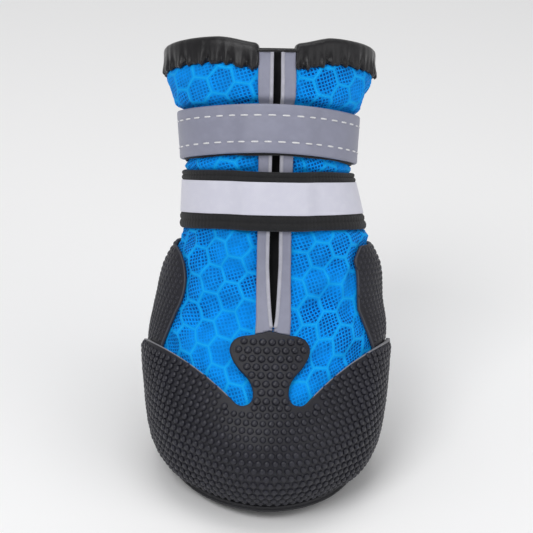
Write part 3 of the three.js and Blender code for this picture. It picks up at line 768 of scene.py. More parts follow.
def bandLine(strap, end, step, start=0):  # middle line, ways across and out, and lengths along it
    distances = np.linspace(start, end, int((end - start) * strapClimb["stepsPerTurn"] / step))
    angle = strap["start"] + strap["way"] * distances
    climb = strapClimb["lap"] * smoothstep(distances, strapClimb["lapFrom"], strapClimb["lapTo"])
    lift = strapClimb["split"] * (1 - smoothstep(fromFront(angle), 0.3, 0.55))
    inner = strapClimb["rest"] + climb + lift
    up = strapUp(strap, angle)
    low = offsetSkin(rowsAlong(up - strap["width"] / 2), angle, inner)
    high = offsetSkin(rowsAlong(up + strap["width"] / 2), angle, inner + strap["squeeze"])
    across, out = unit(high - low), unit(normalAt(rowsAlong(up), angle))
    out = unit(out - across * (out * across).sum(-1, keepdims=True))
    centre = (low + high) / 2
    return centre, across, out, lengthsAlong(centre)


def sweptBand(name, centre, across, out, profileAt, along):
    # a band swept along frames; profileAt(k) gives closed points (across, out) in millimetres
    rings = [profileAt(k) for k in range(len(centre))]
    n = len(rings[0])
    points = np.array([
        centre[k] + across[k] * p[0] + out[k] * p[1] for k, ring in enumerate(rings) for p in ring
    ])
    uv = np.array([(along[k], p[0] + p[1] + 50) for k, ring in enumerate(rings) for p in ring])
    faces = [tuple(f) for f in gridFaces(len(rings), n, closed=True)]
    for first, way in ((0, -1), ((len(rings) - 1) * n, 1)):
        at = len(points)
        points = np.vstack([points, points[first:first + n].mean(0)])
        uv = np.vstack([uv, uv[first]])
        faces += [(*(first + k, first + (k + 1) % n)[::way], at) for k in range(n)]
    return outward(makeObject(name, toWorld(points), faces, uv))


def ovalRing(half, tall, sides):
    return [(half * math.cos(a), tall * math.sin(a)) for a in np.linspace(0, turn, sides + 1)[:-1]]


def roundBand(width, thick, under, bulge=0.0, steps=16):  # closed profile of a flat band with round edges
    half, r = width / 2, thick / 2
    flat = np.linspace(-half + r, half - r, steps)
    top = [(x, under + thick + bulge * (1 - (x / half) ** 2)) for x in flat]
    turns = np.linspace(0.5, math.pi - 0.5, 5)
    right = [(half - r + r * math.sin(a), under + r + r * math.cos(a)) for a in turns]
    low = [(x, under) for x in np.linspace(half - r, -half + r, max(4, steps // 2))]
    return np.array(top + right + low + [(-x, y) for x, y in right[::-1]])


# where other pieces lie on the upper, as a share from 0, covered, to 1, free
coverLook = {"binding": 5.2, "strip": 4.6, "soft": 1.7, "rowTall": 8.7}  # reaches in millimetres


def freeShare(row, angle):
    soft = coverLook["soft"]
    free = smoothstep(-capField(row, angle), 0.2, soft) * smoothstep(-counterField(row, angle), 0.2, soft)
    for strap in strapSizes.values():
        beyond = np.abs(lengthUp(row) - strapUp(strap, angle)) - strap["width"] / 2
        free = free * smoothstep(beyond, 0.0, soft)
    rim = (rimAt(angle) - row) * coverLook["rowTall"]
    free = free * smoothstep(rim, coverLook["binding"], coverLook["binding"] + soft)
    x = np.abs(outFromSplit(row, angle))
    clear = smoothstep(x, coverLook["strip"], coverLook["strip"] + soft * 0.7)
    beside = np.where(fromFront(angle) < 1.2, clear, 1.0)
    return free * np.where(row > 4.5, beside, 1.0) * smoothstep(row, 0.3, 1.0)


upperLook = {
    "around": 262, "up": 152, "puffTop": 0.35, "puffWaist": 1.1, "puffFoot": 1.4, "simLimit": 1.1,
    "simColumns": 96, "simRows": 60, "simFrames": 36, "simScale": 10, "simHeld": 0.6, "sewn": (0.45, 0.35),
    # creases: round from the front and up the front from the foot edge in millimetres, turn in
    # degrees, then length, width and depth in millimetres
    "creases": [
        (9, 79, 12, 16, 1.1, 0.45), (-11, 80, -10, 15, 1.2, 0.45), (15, 89, -18, 12, 1.0, 0.4),
        (-16, 90, 22, 13, 1.1, 0.4), (26, 96, 35, 12, 1.2, 0.4), (-27, 95, -28, 13, 1.1, 0.4),
        (20, 62, 30, 14, 1.3, 0.5), (-22, 61, -34, 15, 1.3, 0.5), (12, 55, 62, 13, 1.3, 0.35),
        (-13, 54, -58, 14, 1.3, 0.35), (44, 70, 10, 20, 1.5, 0.6), (-46, 71, -12, 20, 1.5, 0.6),
        (60, 66, -6, 22, 1.6, 0.6), (-62, 67, 8, 22, 1.6, 0.6),
    ],
}
clothTrial = {
    "quality": 6, "mass": 0.2, "tension_stiffness": 12, "compression_stiffness": 6, "shear_stiffness": 4,
    "bending_stiffness": 0.25, "shrink_min": -0.045, "vertex_group_mass": "held", "pin_stiffness": 1,
    "use_pressure": True, "uniform_pressure_force": 1.2,
}


def creaseDepth(uv):
    total = np.zeros(len(uv))
    for around, up, tilt, length, width, depth in upperLook["creases"]:
        du, dv = uv[:, 0] - clothStart[0] - around, uv[:, 1] - clothStart[1] - up
        c, s = cosSin(tilt)
        along, off = du * c + dv * s, -du * s + dv * c
        fade = 1 - smoothstep(np.abs(along), length * 0.25, length * 0.5)
        off = off + 0.6 * np.sin(along * 0.35 + around)
        ridge = 0.5 * np.exp(-(((off - 2 * width) / width) ** 2))
        total += fade * depth * (-np.exp(-((off / width) ** 2)) + ridge)
    return total


def puffAt(row, angle):
    waist = rowsAlong(strapSizes["lower"]["up"] + 8.5)
    top = rowsAlong(strapSizes["upper"]["up"] + 6)
    above = upperLook["puffTop"] * (1 - 0.45 * smoothstep(row, top + 0.3, rimRow))
    below = upperLook["puffFoot"] * smoothstep(row, 4.8, 7.2)
    amount = np.where(row > top, above, np.where(row > waist, upperLook["puffWaist"], below))
    return amount * (0.8 + 0.2 * np.cos(2 * angle + 0.6))


def simulateUpper():
    # a light cloth of the outer skin, held where other pieces press on it, blown out a little from inside
    columns, rows, scale = (upperLook[k] for k in ("simColumns", "simRows", "simScale"))
    angles = np.linspace(-math.pi, math.pi, columns + 1)[:-1]
    aa, ss = np.meshgrid(angles, np.linspace(0, 1, rows))
    rr = ss * rimAt(aa)
    start, normals = offsetSkin(rr, aa, 0.0), normalAt(rr, aa)
    free = freeShare(rr.ravel(), aa.ravel()).reshape(rr.shape)
    faces = gridFaces(rows, columns, closed=True)
    made = makeObject("cloth_trial", toWorld(start.reshape(-1, 3)) * scale, faces)
    held = made.vertex_groups.new(name="held")
    for k, share in enumerate(free.ravel()):
        if share < upperLook["simHeld"]:
            held.add([k], float(1 - share / upperLook["simHeld"]), "REPLACE")
    cloth = made.modifiers.new("cloth", "CLOTH")
    for key, value in clothTrial.items():
        setattr(cloth.settings, key, value)
    cloth.settings.effector_weights.gravity = 0.1
    cloth.collision_settings.use_collision = False
    cloth.point_cache.frame_start, cloth.point_cache.frame_end = 1, upperLook["simFrames"]
    for frameNumber in range(1, upperLook["simFrames"] + 1):
        scene.frame_set(frameNumber)
    shaped = made.evaluated_get(bpy.context.evaluated_depsgraph_get())
    end = np.array([v.co[:] for v in shaped.to_mesh().vertices]).reshape(rows, columns, 3) / scale / mm
    shaped.to_mesh_clear()
    bpy.data.objects.remove(made, do_unlink=True)
    scene.frame_set(1)
    end[..., 1] -= shiftY
    moved = ((end - start) * normals).sum(-1)
    moved = np.clip(np.nan_to_num(moved), -upperLook["simLimit"], upperLook["simLimit"])
    moved = moved - np.median(moved[free > 0.9]) * 0.5
    print("cloth moved from", round(float(moved.min()), 2), "to", round(float(moved.max()), 2), "mm")
    return np.hstack([moved, moved[:, :1]])


splitFoot = lowestUp + capEdge[0][1] * boot["instepHeight"]


splitLook = {"half": 1.35, "narrowBy": 0.25, "narrowFrom": 20, "narrowTo": 45, "taper": 17, "closed": -0.4}


def splitHalfAt(up):  # half the split's width, rounded at its foot and narrower towards the ankle
    narrow = smoothstep(up, splitFoot + splitLook["narrowFrom"], splitFoot + splitLook["narrowTo"])
    half = splitLook["half"] - splitLook["narrowBy"] * narrow
    return half * np.sqrt(np.clip((up - splitFoot) / splitLook["taper"], 0, 1))


def makeUpper():
    angles = np.linspace(-math.pi, math.pi, upperLook["around"])
    shares = np.linspace(0, 1, upperLook["up"])
    aa, ss = np.meshgrid(angles, shares)
    angle, row = aa.ravel(), (ss * rimAt(aa)).ravel()
    params, triangles = np.stack([angle, row], -1), gridTriangles(len(shares), len(angles))
    up = upOf(skin(row, angle))
    clear = np.abs(outFromSplit(row, angle)) - np.where(up > splitFoot, splitHalfAt(up), splitLook["closed"])
    field = np.where(fromFront(angle) < 1, clear, 9.0)
    params, triangles, field = splitAt(params, triangles, field, 0)
    triangles = dropOutside(triangles, field)
    angle, row = params.T
    uv = clothUv(row, angle)
    free = freeShare(row, angle)
    moved = puffAt(row, angle) * free + squeezeAt(row, angle) + drawIn(row)
    settled = readGrid(simulateUpper(), row / rimAt(angle), angle / turn + 0.5)
    moved = moved + settled * smoothstep(free, 0, 0.8)
    moved = moved + creaseDepth(uv) * free
    border = 1 - smoothstep(hexDepth(cellPlace(uv), meshLook["cell"]) * meshLook["cell"], 0.45, 1.2)
    outer = offsetSkin(row, angle, moved + meshLook["reliefBorder"] * border * (0.3 + 0.7 * free))
    inner = offsetSkin(row, angle, moved * 0.8 - boot["upperWall"])
    made = closeShell("upper", params, triangles, inner, outer, uv, seam=True)
    low, high = upperLook["sewn"]
    loops, faces = made.data.uv_layers["cloth"].data, made.data.polygons
    ups = [loops[face.loop_start].uv[1] - clothStart[1] for face in faces]
    for face, row in zip(faces, np.interp(ups, frontLengths, rowTable)):
        if face.material_index == 0 and (row > rimRow - high or row < low):  # black where it is sewn under
            face.material_index = 1
    return made


upper = makeUpper()
finishPiece(upper, [blueMesh, stretch, lining], ["upper"])
print("upper made", len(upper.data.polygons))

# toe cap: a moulded rubber patch with raised dots, larger on the tab, the dots painted lighter as a highlight
capLook = {
    "body": (2.15, 0.95, 0.62), "tab": (2.45, 1.08, 0.7),  # the dots' pitch, radius and height
    "margin": 0.7, "sunk": 0.03, "roll": 0.5, "tabFrom": 0.56, "tabOut": 12.5, "paleFrom": 11,
}


def capInner(angle):
    return boot["gap"] + capLift(angle)


def capOuter(angle):
    return capInner(angle) + capSize["thick"]


def onTab(row, angle):
    points = offsetSkin(row, angle, capOuter(angle))
    above = upOf(points) > lowestUp + capLook["tabFrom"] * boot["instepHeight"]
    return above & (np.abs(points[:, 0]) < capLook["tabOut"])


def makeCap():
    reach, top = capSize["reach"], capSize["top"]
    made = trimmedShell("toe_cap", np.linspace(0, top, 76), np.linspace(-reach, reach, 181), capField,
                        capInner, capSize["thick"], capLook["roll"])
    for face in made.data.polygons:  # the pale cut shows along the wings, not round the tab
        if face.material_index == 1 and abs(face.center.x) < capLook["paleFrom"] * mm:
            face.material_index = 0
    for k, (part, side) in enumerate((("body", reach), ("tab", 1.2))):
        pitch, radius, height = capLook[part]
        spots = dotRows(capField, capOuter, top, (0, side), pitch, capLook["margin"])
        spots = spots[onTab(spots[:, 0], spots[:, 1]) == (part == "tab")]
        addDots(made, spots, capOuter(spots[:, 1]) - capLook["sunk"], radius, height, seed=3 + k)
        print("dots on the cap's", part, len(spots))
    return made


cap = makeCap()
finishPiece(cap, [capRubber, cutEdge, soleRubber, dotRubberPaintedHighlight], ["toe_cap"])
print("toe cap made", len(cap.data.polygons))

# heel counter: thinner rubber round the back, with finer dots, painted lighter as a highlight
counterLook = {"pitch": 1.75, "radius": 0.66, "height": 0.28, "margin": 0.8, "sunk": 0.03, "roll": 0.45}


def makeCounter():
    forward, top, thick = (counterSize[k] for k in ("forward", "top", "thick"))
    outer = boot["gap"] + thick
    made = trimmedShell("heel_counter", np.linspace(0, top, 64), np.linspace(forward, turn - forward, 156),
                        counterField, lambda a: boot["gap"] + 0 * a, thick, counterLook["roll"])
    spots = dotRows(counterField, lambda a: outer + 0 * a, top, (forward, math.pi), counterLook["pitch"],
                    counterLook["margin"])
    hidden = (capField(spots[:, 0], spots[:, 1]) > -0.6) & (np.abs(spots[:, 1]) < capSize["reach"])
    spots = spots[~hidden]
    addDots(made, spots, outer - counterLook["sunk"], counterLook["radius"], counterLook["height"],
            sides=6, seed=9)
    print("counter dots", len(spots))
    return made


counter = makeCounter()
finishPiece(counter, [capRubber, darkEdge, soleRubber, dotRubberPaintedHighlight], ["heel_counter"])
print("heel counter made", len(counter.data.polygons))

# strips each side of the split, each with a folded edge along it, painted lighter as a highlight
stripLook = {"foot": 4.5, "waist": 4.3, "collar": 4.95, "clear": 0.15, "thick": 0.9, "footRow": 5.5,
             "fold": 0.5, "foldTall": 0.36, "overhang": 0.32}


def angleAtX(row, x):
    half = sectionAt(row)[..., 4]
    return np.sign(x) * np.arcsin(np.clip(np.abs(x) / half, 0, 1) ** (boot["squareness"] / 2))


def stripEdges(row):
    waist = rowsAlong(strapSizes["lower"]["up"])
    foot, narrow, collar = (stripLook[k] for k in ("foot", "waist", "collar"))
    low = foot + (narrow - foot) * smoothstep(row, stripLook["footRow"], waist)
    high = narrow + (collar - narrow) * smoothstep(row, waist, rimRow)
    inner = splitHalfAt(upOf(skin(row, 0 * row))) + stripLook["clear"]
    return inner, np.where(row < waist, low, high)


def pressedIn(row, angle):  # how far the straps and the collar draw the skin in
    return squeezeAt(row, angle) + drawIn(row)


openBelow = openingOutline(capEdge, boot["gap"] * 0.6)


def makeStrip(side, name):
    rows = np.linspace(stripLook["footRow"], float(rimAt(0)), 130)
    shares = np.linspace(0, 1, 13)
    inner, outer = stripEdges(rows)
    x = side * (inner[:, None] * (1 - shares) + outer[:, None] * shares)
    rr = np.repeat(rows[:, None], len(shares), 1)
    params = np.stack([angleAtX(rr, x).ravel(), rr.ravel(), np.tile(shares, len(rows))], -1)
    triangles = gridTriangles(len(rows), len(shares))
    outside = offsetSkin(params[:, 1], params[:, 0], boot["gap"] + stripLook["thick"])
    params, triangles, field = splitAt(params, triangles, -outsideBy(openBelow, seen(outside)), 0)
    triangles = dropOutside(triangles, field)
    angle, row, share = params.T
    wave = 0.1 * np.sin(row * 5.1 + side) + 0.07 * np.sin(row * 11.7 + 2 * side)
    sag = 0.16 * np.sin(share * math.pi) * (1 + wave * 4)
    edge = 1 - np.clip(np.abs(share - 0.5) * 2 - 0.86, 0, 1) / 0.14 * 0.4
    top = boot["gap"] + stripLook["thick"] * edge - sag + wave * 0.6
    uv = np.stack([share * 4 + 40, np.interp(row, rowTable, frontLengths)], -1)
    low, high = (offsetSkin(row, angle, out + pressedIn(row, angle)) for out in (boot["gap"], top))
    return closeShell(name, params, triangles, low, high, uv)


def makeFold(side, name):  # the strip's rolled inner edge, in the tape's colour painted lighter as a highlight
    rows = np.linspace(stripLook["footRow"], float(rimAt(0)) - 0.02, 150)
    inner, _ = stripEdges(rows)
    angle = angleAtX(rows, side * (inner + stripLook["fold"] - stripLook["overhang"]))
    lift = boot["gap"] + stripLook["thick"] - 0.15 + 0.06 * np.sin(rows * 6 + side)
    centre = offsetSkin(rows, angle, lift + pressedIn(rows, angle))
    inside = -outsideBy(openBelow, seen(centre)) > 0.3
    centre, out = centre[inside], normalAt(rows[inside], angle[inside])
    across = unit(np.cross(unit(np.gradient(centre, axis=0)), out))
    ring = ovalRing(stripLook["fold"], stripLook["foldTall"], 12)
    return sweptBand(name, centre, across, out, lambda k: ring, lengthsAlong(centre))


for side, word in ((-1, "left"), (1, "right")):
    finishPiece(makeStrip(side, "strip_" + word), [greyTape] * 3, ["strip_" + word])
    finishPiece(makeFold(side, "strip_fold_" + word), foldTapePaintedHighlight, [])
print("strips made")

# gusset: a black stretch cloth behind the split
gussetLook = {"half": 5.2, "ripple": 0.22, "from": 5, "to": rimRow - 0.14, "behind": 0.25, "thick": 0.5}


def makeGusset():
    rows = np.linspace(gussetLook["from"], gussetLook["to"], 110)
    x = np.linspace(-gussetLook["half"], gussetLook["half"], 15)
    rr, xx = np.repeat(rows[:, None], len(x), 1), np.repeat(x[None], len(rows), 0)
    params = np.stack([angleAtX(rr, xx).ravel(), rr.ravel()], -1)
    row, angle = params[:, 1], params[:, 0]
    ripple = gussetLook["ripple"] * np.sin(row * 7 + 2 * np.sin(row * 1.7)) * np.cos(xx.ravel() / 4.7 * 1.2)
    out = -boot["upperWall"] - boot["gap"] - gussetLook["behind"] - np.abs(ripple)
    uv = np.stack([xx.ravel() + 40, np.interp(row, rowTable, frontLengths)], -1)
    return closeShell("gusset", params, gridTriangles(len(rows), len(x)),
                      offsetSkin(row, angle, out - gussetLook["thick"]), offsetSkin(row, angle, out), uv)


gusset = makeGusset()
finishPiece(gusset, [stretch] * 3, ["gusset"])
print("gusset made")

# lower strap: ribbed black webbing with a silver band along its middle
lowerLook = {"step": 0.34, "rib": 1.15, "ribDepth": 0.05, "tape": 9.0, "tapeThick": 0.4, "tapeUnder": 1.02,
             "tapeFrom": math.radians(83), "tapeTo": math.radians(431), "to": math.radians(435), "raise": 0.8}


def raised(across):  # the webbing's pattern, moved up in its middle
    half = strapSizes["lower"]["width"] / 2
    return across + lowerLook["raise"] * (1 - np.clip(np.abs(across) / half, 0, 1) ** 4)


def makeLowerStrap():
    centre, across, out, along = bandLine(strapSizes["lower"], lowerLook["to"], lowerLook["step"])
    half = strapSizes["lower"]["width"] / 2
    tape = lowerLook["tape"] / 2
    # across, height: two rolled ribs each side of the flat middle
    rolls = [(-half, 0.35), (-half - 0.1, 0.75), (-half + 0.2, 1.2), (-half + 0.8, 1.42),
             (-half + 1.35, 1.32), (-half + 1.7, 1.05), (-half + 2.05, 1.3), (-half + 2.6, 1.42),
             (-tape - 0.15, 1.2), (-tape + 0.3, 1.02)]
    middle = [(x, 1.0) for x in np.linspace(-tape + 1.3, tape - 1.3, 7)]
    under = [(half - 0.4, 0.02), (half / 2, 0), (0, 0), (-half / 2, 0), (-half + 0.4, 0.02)]
    outline = np.array(rolls + middle + [(-x, y) for x, y in rolls[::-1]] + under)
    edge = np.abs(outline[:, 0]) > tape

    def profile(k):
        beat = math.sin(along[k] / lowerLook["rib"] * turn)
        ring = outline.copy()
        ring[:, 1] += np.where((outline[:, 1] > 0.5) & edge, lowerLook["ribDepth"] * beat, 0)
        ring[:, 0] = raised(ring[:, 0]) + 0.1 * math.sin(along[k] * 0.21 + 1) * np.where(edge, 1, 0.3)
        return ring

    return sweptBand("lower_strap", centre, across, out, profile, along)


def makeLowerTape():
    look = lowerLook
    centre, across, out, along = bandLine(strapSizes["lower"], look["tapeTo"], 0.8, look["tapeFrom"])
    outline = roundBand(look["tape"], look["tapeThick"], look["tapeUnder"])
    top = outline[:, 1] > look["tapeUnder"] + 0.7 * look["tapeThick"]
    share = outline[:, 0] / (look["tape"] / 2)

    def profile(k):
        ring = outline.copy()
        ring[:, 1] += np.where(top, 0.05 * np.sin(along[k] * 0.5) * (1 - share**2), 0)
        ring[:, 0] = raised(ring[:, 0] * 0.97)
        return ring

    return sweptBand("lower_strap_tape", centre, across, out, profile, along)


lowerStrap, lowerTape = makeLowerStrap(), makeLowerTape()
finishPiece(lowerStrap, webbing, ["lower_strap"])
finishPiece(lowerTape, silverTape, ["lower_strap_tape"])
print("lower strap made", len(lowerStrap.data.polygons))

# upper strap: a grey band with two rows of white stitches, over a thin black backing
upperStrapLook = {"thick": 1.1, "under": 0.95, "to": math.radians(435), "stitch": 3.4, "stitchLong": 2.1,
                  "stitchRound": 0.23, "rows": (3.5, -3.4), "backingTo": math.radians(330),
                  "backingThick": 0.6, "backingLow": 0.5}


def makeUpperStrap():
    look, width = upperStrapLook, strapSizes["upper"]["width"]
    centre, across, out, along = bandLine(strapSizes["upper"], look["to"], 0.6)
    outline = roundBand(width, look["thick"], look["under"], 0.06, 34)
    top = outline[:, 1] > look["under"] + 0.8
    seams = sum(np.exp(-(((outline[:, 0] - at) / 0.45) ** 2)) for at in look["rows"])

    def profile(k):
        ring = outline.copy()
        pull = 0.8 + 0.2 * math.sin(along[k] / look["stitch"] * turn)
        ring[:, 1] -= np.where(top, 0.13 * seams * pull, 0)
        ring[:, 1] += np.where(top, 0.07 * np.sin(along[k] * 0.3 + ring[:, 0] * 0.35), 0)
        ring[:, 0] += 0.08 * math.sin(along[k] * 0.17 + 2)
        return ring

    return sweptBand("upper_strap", centre, across, out, profile, along)


def capsules(name, centres, directions, outs, length, radius, material, slotName):
    # joined short threads, each a bent capsule lying on the band
    points, faces = [], []
    bend = ((-0.5, 0.55, -0.16), (-0.36, 0.95, 0.02), (0, 1, 0.08), (0.36, 0.95, 0.02), (0.5, 0.55, -0.16))
    for c, d, o in zip(centres, directions, outs):
        side = np.cross(d, o)
        faces += stackFaces(len(points), len(bend), 6)
        for t, r, lift in bend:
            for x, y in ovalRing(radius * r, radius * r, 6):
                points.append(c + d * length * t + o * (lift + y) + side * x)
    uv = np.array([(p[0] * 3, p[2] * 3) for p in points])
    made = outward(makeObject(name, toWorld(np.array(points)), faces, uv))
    return finishPiece(made, material, [])


def makeStitches():
    look = upperStrapLook
    centre, across, out, along = bandLine(strapSizes["upper"], look["to"], 0.2)
    height = look["under"] + look["thick"] - 0.03
    spots = []
    for at in look["rows"]:
        for length in np.arange(2.2 + (0.9 if at < 0 else 0), along[-1] - 2, look["stitch"]):
            k = int(np.searchsorted(along, length))
            ahead = unit(centre[min(k + 2, len(centre) - 1)] - centre[k - 2])
            spots.append((centre[k] + across[k] * at + out[k] * height, ahead, out[k]))
    return capsules("upper_strap_stitches", *zip(*spots), look["stitchLong"], look["stitchRound"], thread,
                    "silver_tape")


def makeBacking():
    look, strap = upperStrapLook, strapSizes["upper"]
    centre, across, out, along = bandLine(strap, look["backingTo"], 0.8)
    outline = roundBand(strap["width"], look["backingThick"], 0) - [look["backingLow"], 0]
    return sweptBand("upper_strap_backing", centre, across, out,
                     lambda k: outline + [0.1 * math.sin(along[k] * 0.4), 0], along)


upperStrap, backing = makeUpperStrap(), makeBacking()
finishPiece(upperStrap, greyTape, ["upper_strap"])
finishPiece(backing, webbing, ["upper_strap_backing"])
stitches = makeStitches()


def declareBand(strap, end):  # a band's flat width and length round the shaft, worked out and not used
    flat = (strap["width"] * mm, bandLine(strap, end, 1)[3][-1] * mm)


declareBand(strapSizes["lower"], lowerLook["to"])
declareBand(strapSizes["upper"], upperStrapLook["to"])
declareBand(strapSizes["upper"], upperStrapLook["backingTo"])
print("upper strap made", len(upperStrap.data.polygons))

# collar binding: a glossy strip folded over the rim and gathered along its lower edge
bindingLook = {"outside": 5.1, "inside": 5, "notch": 4.95, "around": 640, "gather": 0.52, "scallop": 0.8,
               "waves": [(3.7, 1.0), (2.3, 0.7), (6.4, 0.5)], "lobe": 1.2, "lobeLong": 1.4,
               "threadHalf": 5.2, "threadRound": 0.38}


def makeBinding():
    look = bindingLook
    front = math.asin((look["notch"] / float(sectionAt(rimRow)[4])) ** (boot["squareness"] / 2))
    angles = np.linspace(front, turn - front, look["around"])
    rims = rimAt(angles)
    along = lengthsAlong(skin(rims, angles))
    chance = random.Random(11)
    gather = 0
    for pitch, share in look["waves"]:
        start, slide = chance.uniform(0, 6), chance.uniform(0, 6)
        gather = gather + share * np.sin(along / pitch * turn + start + 1.6 * np.sin(along / 17 + slide))
    gather = gather / 1.5
    toEnd = np.clip(np.minimum(along, along[-1] - along) / look["lobeLong"], 0, 1)
    short = look["lobe"] * (1 - np.sqrt(np.clip(1 - (1 - toEnd) ** 2, 0, 1)))  # rounded lobes
    # how far below the rim (up is negative), how far out, and how much the gathers move it
    w, g, low, high = boot["upperWall"], boot["gap"], look["outside"], look["inside"]
    deep = -w - g
    outerSide = [
        (low + 0.1, g + 0.1, 0.5), (low + 0.2, g + 0.6, 0.9), (low - 0.2, g + 1.02, 1), (4.5, g + 1.18, 1),
        (4, g + 1.14, 1), (3.4, g + 1.1, 0.8), (2.5, g + 1.12, 0.45), (1.6, g + 1.08, 0.2),
        (0.7, g + 1.02, 0.1), (-0.3, g + 0.95, 0.08), (-1.1, g + 0.7, 0.08), (-1.6, g + 0.15, 0.06),
        (-1.75, -w / 2, 0.05), (-1.6, deep - 0.15, 0.06), (-1.1, deep - 0.7, 0.08), (-0.3, deep - 0.95, 0.08),
        (1.4, deep - 1.05, 0.15), (3.2, deep - 1.1, 0.4), (high - 0.3, deep - 1.1, 0.6),
        (high, deep - 0.6, 0.5), (high - 0.2, deep - 0.1, 0.2),
    ]
    innerSide = [
        (3, deep + 0.02, 0), (0.6, deep + 0.05, 0), (-0.15, -w / 2, 0), (0.6, g - 0.05, 0), (3, g - 0.02, 0),
        (low - 0.5, g - 0.02, 0),
    ]
    rings = []
    for down, out, move in outerSide + innerSide:
        scallop = look["scallop"] * gather * (0.6 if down > low - 1 and move > 0.5 else 0)
        trim = short if down < 1 else -short * (down > 4)
        rows = rims - (rimRow - rowsAlong(shaftLength - np.maximum(-1.8, down + scallop + trim)))
        ripple = (1 if out > -w / 2 else -1) * gather * look["gather"] * move
        rings.append(offsetSkin(rows, angles, out + ripple + drawIn(rows)))
    n = len(rings)
    uv = np.stack([np.repeat(along, n), np.tile(np.arange(n) * 0.9, len(along))], -1)
    points = np.stack(rings, 1).reshape(-1, 3)
    return outward(makeObject("collar_binding", toWorld(points), stackFaces(0, len(angles), n), uv))


def makeCollarThread():  # a black thread from lobe to lobe over the strips' tops
    x = np.linspace(-bindingLook["threadHalf"], bindingLook["threadHalf"], 41)
    row = np.full(41, float(rimAt(0)) - 0.03)
    angle = angleAtX(row, x)
    lift = boot["gap"] + stripLook["thick"] + 0.1 - 0.25 * (1 - np.clip(np.abs(x) / 1.6, 0, 1)) + drawIn(row)
    centre, out = offsetSkin(row, angle, lift), normalAt(row, angle)
    across = np.cross(unit(np.gradient(centre, axis=0)), out)
    ring = ovalRing(bindingLook["threadRound"], bindingLook["threadRound"], 10)
    return sweptBand("collar_thread", centre, across, out, lambda k: ring, x + 20)


binding = makeBinding()
finishPiece(makeCollarThread(), gloss, [])
finishPiece(binding, gloss, ["collar_binding"])
print("binding made", len(binding.data.polygons))


# plates of the sole and insole
def solePoints(angle, share, z, out):
    ahead = skin(0, angle + 0.02) - skin(0, angle - 0.02)
    normal = np.stack([ahead[..., 1], -ahead[..., 0]], -1)
    normal /= np.linalg.norm(normal, axis=-1, keepdims=True)
    edge = skin(0, angle)[..., :2] + normal * np.asarray(out)[..., None]
    points = np.concatenate([edge * share, np.zeros_like(edge[..., :1])], -1)
    points[..., 2] = z + springAt(points[..., 1])
    return points


def makePlate(name, levels, around, zAt=None):  # levels are a share of the way out, a height and an overhang
    angles = np.linspace(0, turn, around + 1)[:-1]
    grid = np.vstack([solePoints(angles, share, z, out + 0 * angles) for share, z, out in levels])
    centres = np.array([[0, 0, levels[0][1]], [0, 0, levels[-1][1]]], float)
    centres[:, 2] += springAt(centres[:, 1])
    points = np.vstack([grid, centres])
    if zAt is not None:
        points[:, 2] += zAt(*points.T)
    faces = [tuple(f) for f in gridFaces(len(levels), around, closed=True)]
    last = (len(levels) - 1) * around
    for k in range(around):
        after = (k + 1) % around
        faces += [(after, k, len(grid)), (last + k, last + after, len(grid) + 1)]
    return outward(makeObject(name, toWorld(points), faces, points[:, :2] + 100))


insoleLook = {"low": 3.75, "high": 5.75, "pad": 0.35, "quilt": 6.5}


def makeInsole():
    low, high, q = (insoleLook[k] for k in ("low", "high", "quilt"))
    out = -boot["upperWall"] - boot["gap"] - 0.5
    levels = [(0.1 * k, low, out) for k in range(1, 10)] + [(1, low, out - 0.3), (1, low + 0.5, out)]
    levels += [(1, high - 0.6, out), (1, high - 0.1, out - 0.35)]
    levels += [(s, high, out) for s in np.linspace(0.98, 0.02, 50)]

    def quilt(x, y, z):
        lines = np.minimum(*(np.abs(np.sin(v / q * math.pi)) for v in (x + y, x - y)))
        return np.where(z > low + 1.2, insoleLook["pad"] * (np.sqrt(lines) - 0.6), 0)

    return makePlate("insole", levels, 180, quilt)


insole = makeInsole()
finishPiece(insole, lining, ["insole"])

soleLook = {"tread": 1.4, "thick": 3.4, "ledge": 1.9, "groove": 0.5, "pitch": 9.6, "radius": 3.3,
            "margin": 2.2}


def makeOutsole():
    floor, thick, ledge, groove = (soleLook[k] for k in ("tread", "thick", "ledge", "groove"))
    pitch, radius, margin = (soleLook[k] for k in ("pitch", "radius", "margin"))
    middle, bead = (floor + thick) / 2, ledge - groove
    levels = [(s, floor, ledge) for s in np.linspace(0.06, 0.96, 16)]
    levels += [(1, z, out) for z, out in (
        (floor, bead - groove), (floor + 0.12, bead - 0.15), (floor + 0.4, ledge - 0.12),
        (floor + 0.65, ledge), (middle - 0.15, ledge - 0.02), (middle - 0.02, ledge - 0.2),
        (middle + 0.1, bead), (middle + 0.25, bead + 0.16), (thick - 0.4, bead + 0.16),
        (thick - 0.15, bead), (thick, bead - 0.35),
    )]
    levels += [(s, thick, ledge) for s in np.linspace(0.96, 0.06, 12)]
    made = makePlate("outsole", levels, 200)
    # six-sided studs, each with a rounded rim and a small hollow with a middle button
    stud = ((1.14, floor + 0.6), (1.1, 0.6), (1.0, 0.14), (0.93, 0), (0.72, 0), (0.64, 0.3), (0.42, 0.3),
            (0.34, 0.02), (0.12, 0.02))
    points, faces = [], []
    for r in range(-5, 6):
        for c in range(-4, 5):
            x, y = (c + (0 if r % 2 == 0 else 0.5)) * pitch, r * pitch * math.sin(math.radians(60))
            edge = skin(0, math.atan2(x / boot["ballWidth"], -y / boot["footLength"]))
            if math.hypot(x, y) + radius + margin >= math.hypot(edge[0], edge[1]) + ledge:
                continue
            faces += stackFaces(len(points), len(stud), 6)
            for share, z in stud:
                for dy, dx in ovalRing(radius * share, radius * share, 6):
                    points.append((x + dx, y + dy, z + float(springAt(y + dy))))
    addLooseParts(made, np.array(points), faces)
    return outward(made)


outsole = makeOutsole()
finishPiece(outsole, soleRubber, ["outsole"])
print("sole made", len(outsole.data.polygons))

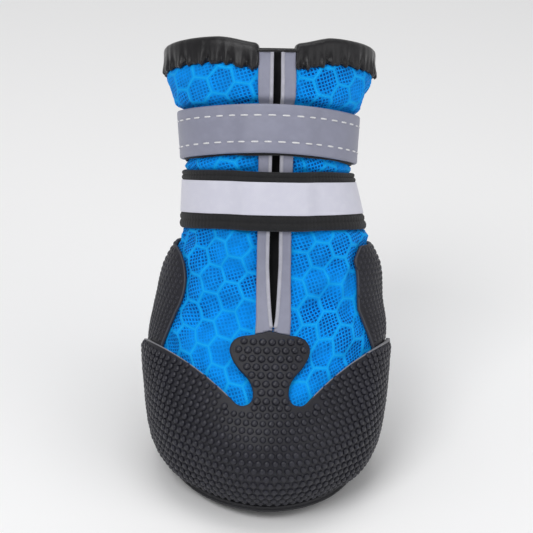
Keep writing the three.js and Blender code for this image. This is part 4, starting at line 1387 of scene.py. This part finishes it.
# floor, light and camera
floorCorners = [(x, y, -0.0001) for x, y in ((-3, -3), (3, -3), (3, 3), (-3, 3))]
floorMesh = makeObject("floor", floorCorners, [(0, 1, 2, 3)])
floorMaterial, _, floorShader = newMaterial("floor_paint", roughness=0.9, specular=0.2)
floorShader.inputs["Base Color"].default_value = (0.94, 0.94, 0.945, 1)
floorMesh.data.materials.append(floorMaterial)

world = bpy.data.worlds.new("studio")
scene.world = world
world.use_nodes = True
sky = next(n for n in world.node_tree.nodes if n.type == "BACKGROUND")
setInputs(world.node_tree, sky, {"Color": (1, 1, 1, 1), "Strength": 0.48})

lights = {  # place, size and power of each soft panel
    "key": ((-0.35, -0.55, 0.75), 0.45, 3.3), "fill": ((0.6, -0.45, 0.4), 0.6, 1.2),
    "top": ((0.0, 0.1, 0.9), 0.5, 1.9),
}
for name, (place, size, power) in lights.items():
    lamp = bpy.data.lights.new(name, "AREA")
    lamp.shape, lamp.size, lamp.energy = "SQUARE", size, power
    holder = bpy.data.objects.new(name, lamp)
    holder.location = place
    holder.rotation_euler = (Vector((0, 0, 0.05)) - Vector(place)).to_track_quat("-Z", "Y").to_euler()
    scene.collection.objects.link(holder)

cameraLook = {"azimuth": -3.0, "elevation": 25.0, "distance": 0.52, "target": (-0.0004, 0.0, 0.0525),
              "lens": 131, "roll": 2.0}
lens = bpy.data.cameras.new("camera")
lens.lens, lens.sensor_width = cameraLook["lens"], 36
lens.clip_start = 0.01
camera = bpy.data.objects.new("camera", lens)
scene.collection.objects.link(camera)
az, el = math.radians(cameraLook["azimuth"]), math.radians(cameraLook["elevation"])
back = Vector((math.sin(az) * math.cos(el), -math.cos(az) * math.cos(el), math.sin(el)))
camera.location = Vector(cameraLook["target"]) + back * cameraLook["distance"]
facing = (-back).to_track_quat("-Z", "Y").to_matrix().to_4x4()
camera.rotation_euler = (facing @ Matrix.Rotation(math.radians(cameraLook["roll"]), 4, "Z")).to_euler()
scene.camera = camera
scene.view_settings.view_transform = "Standard"
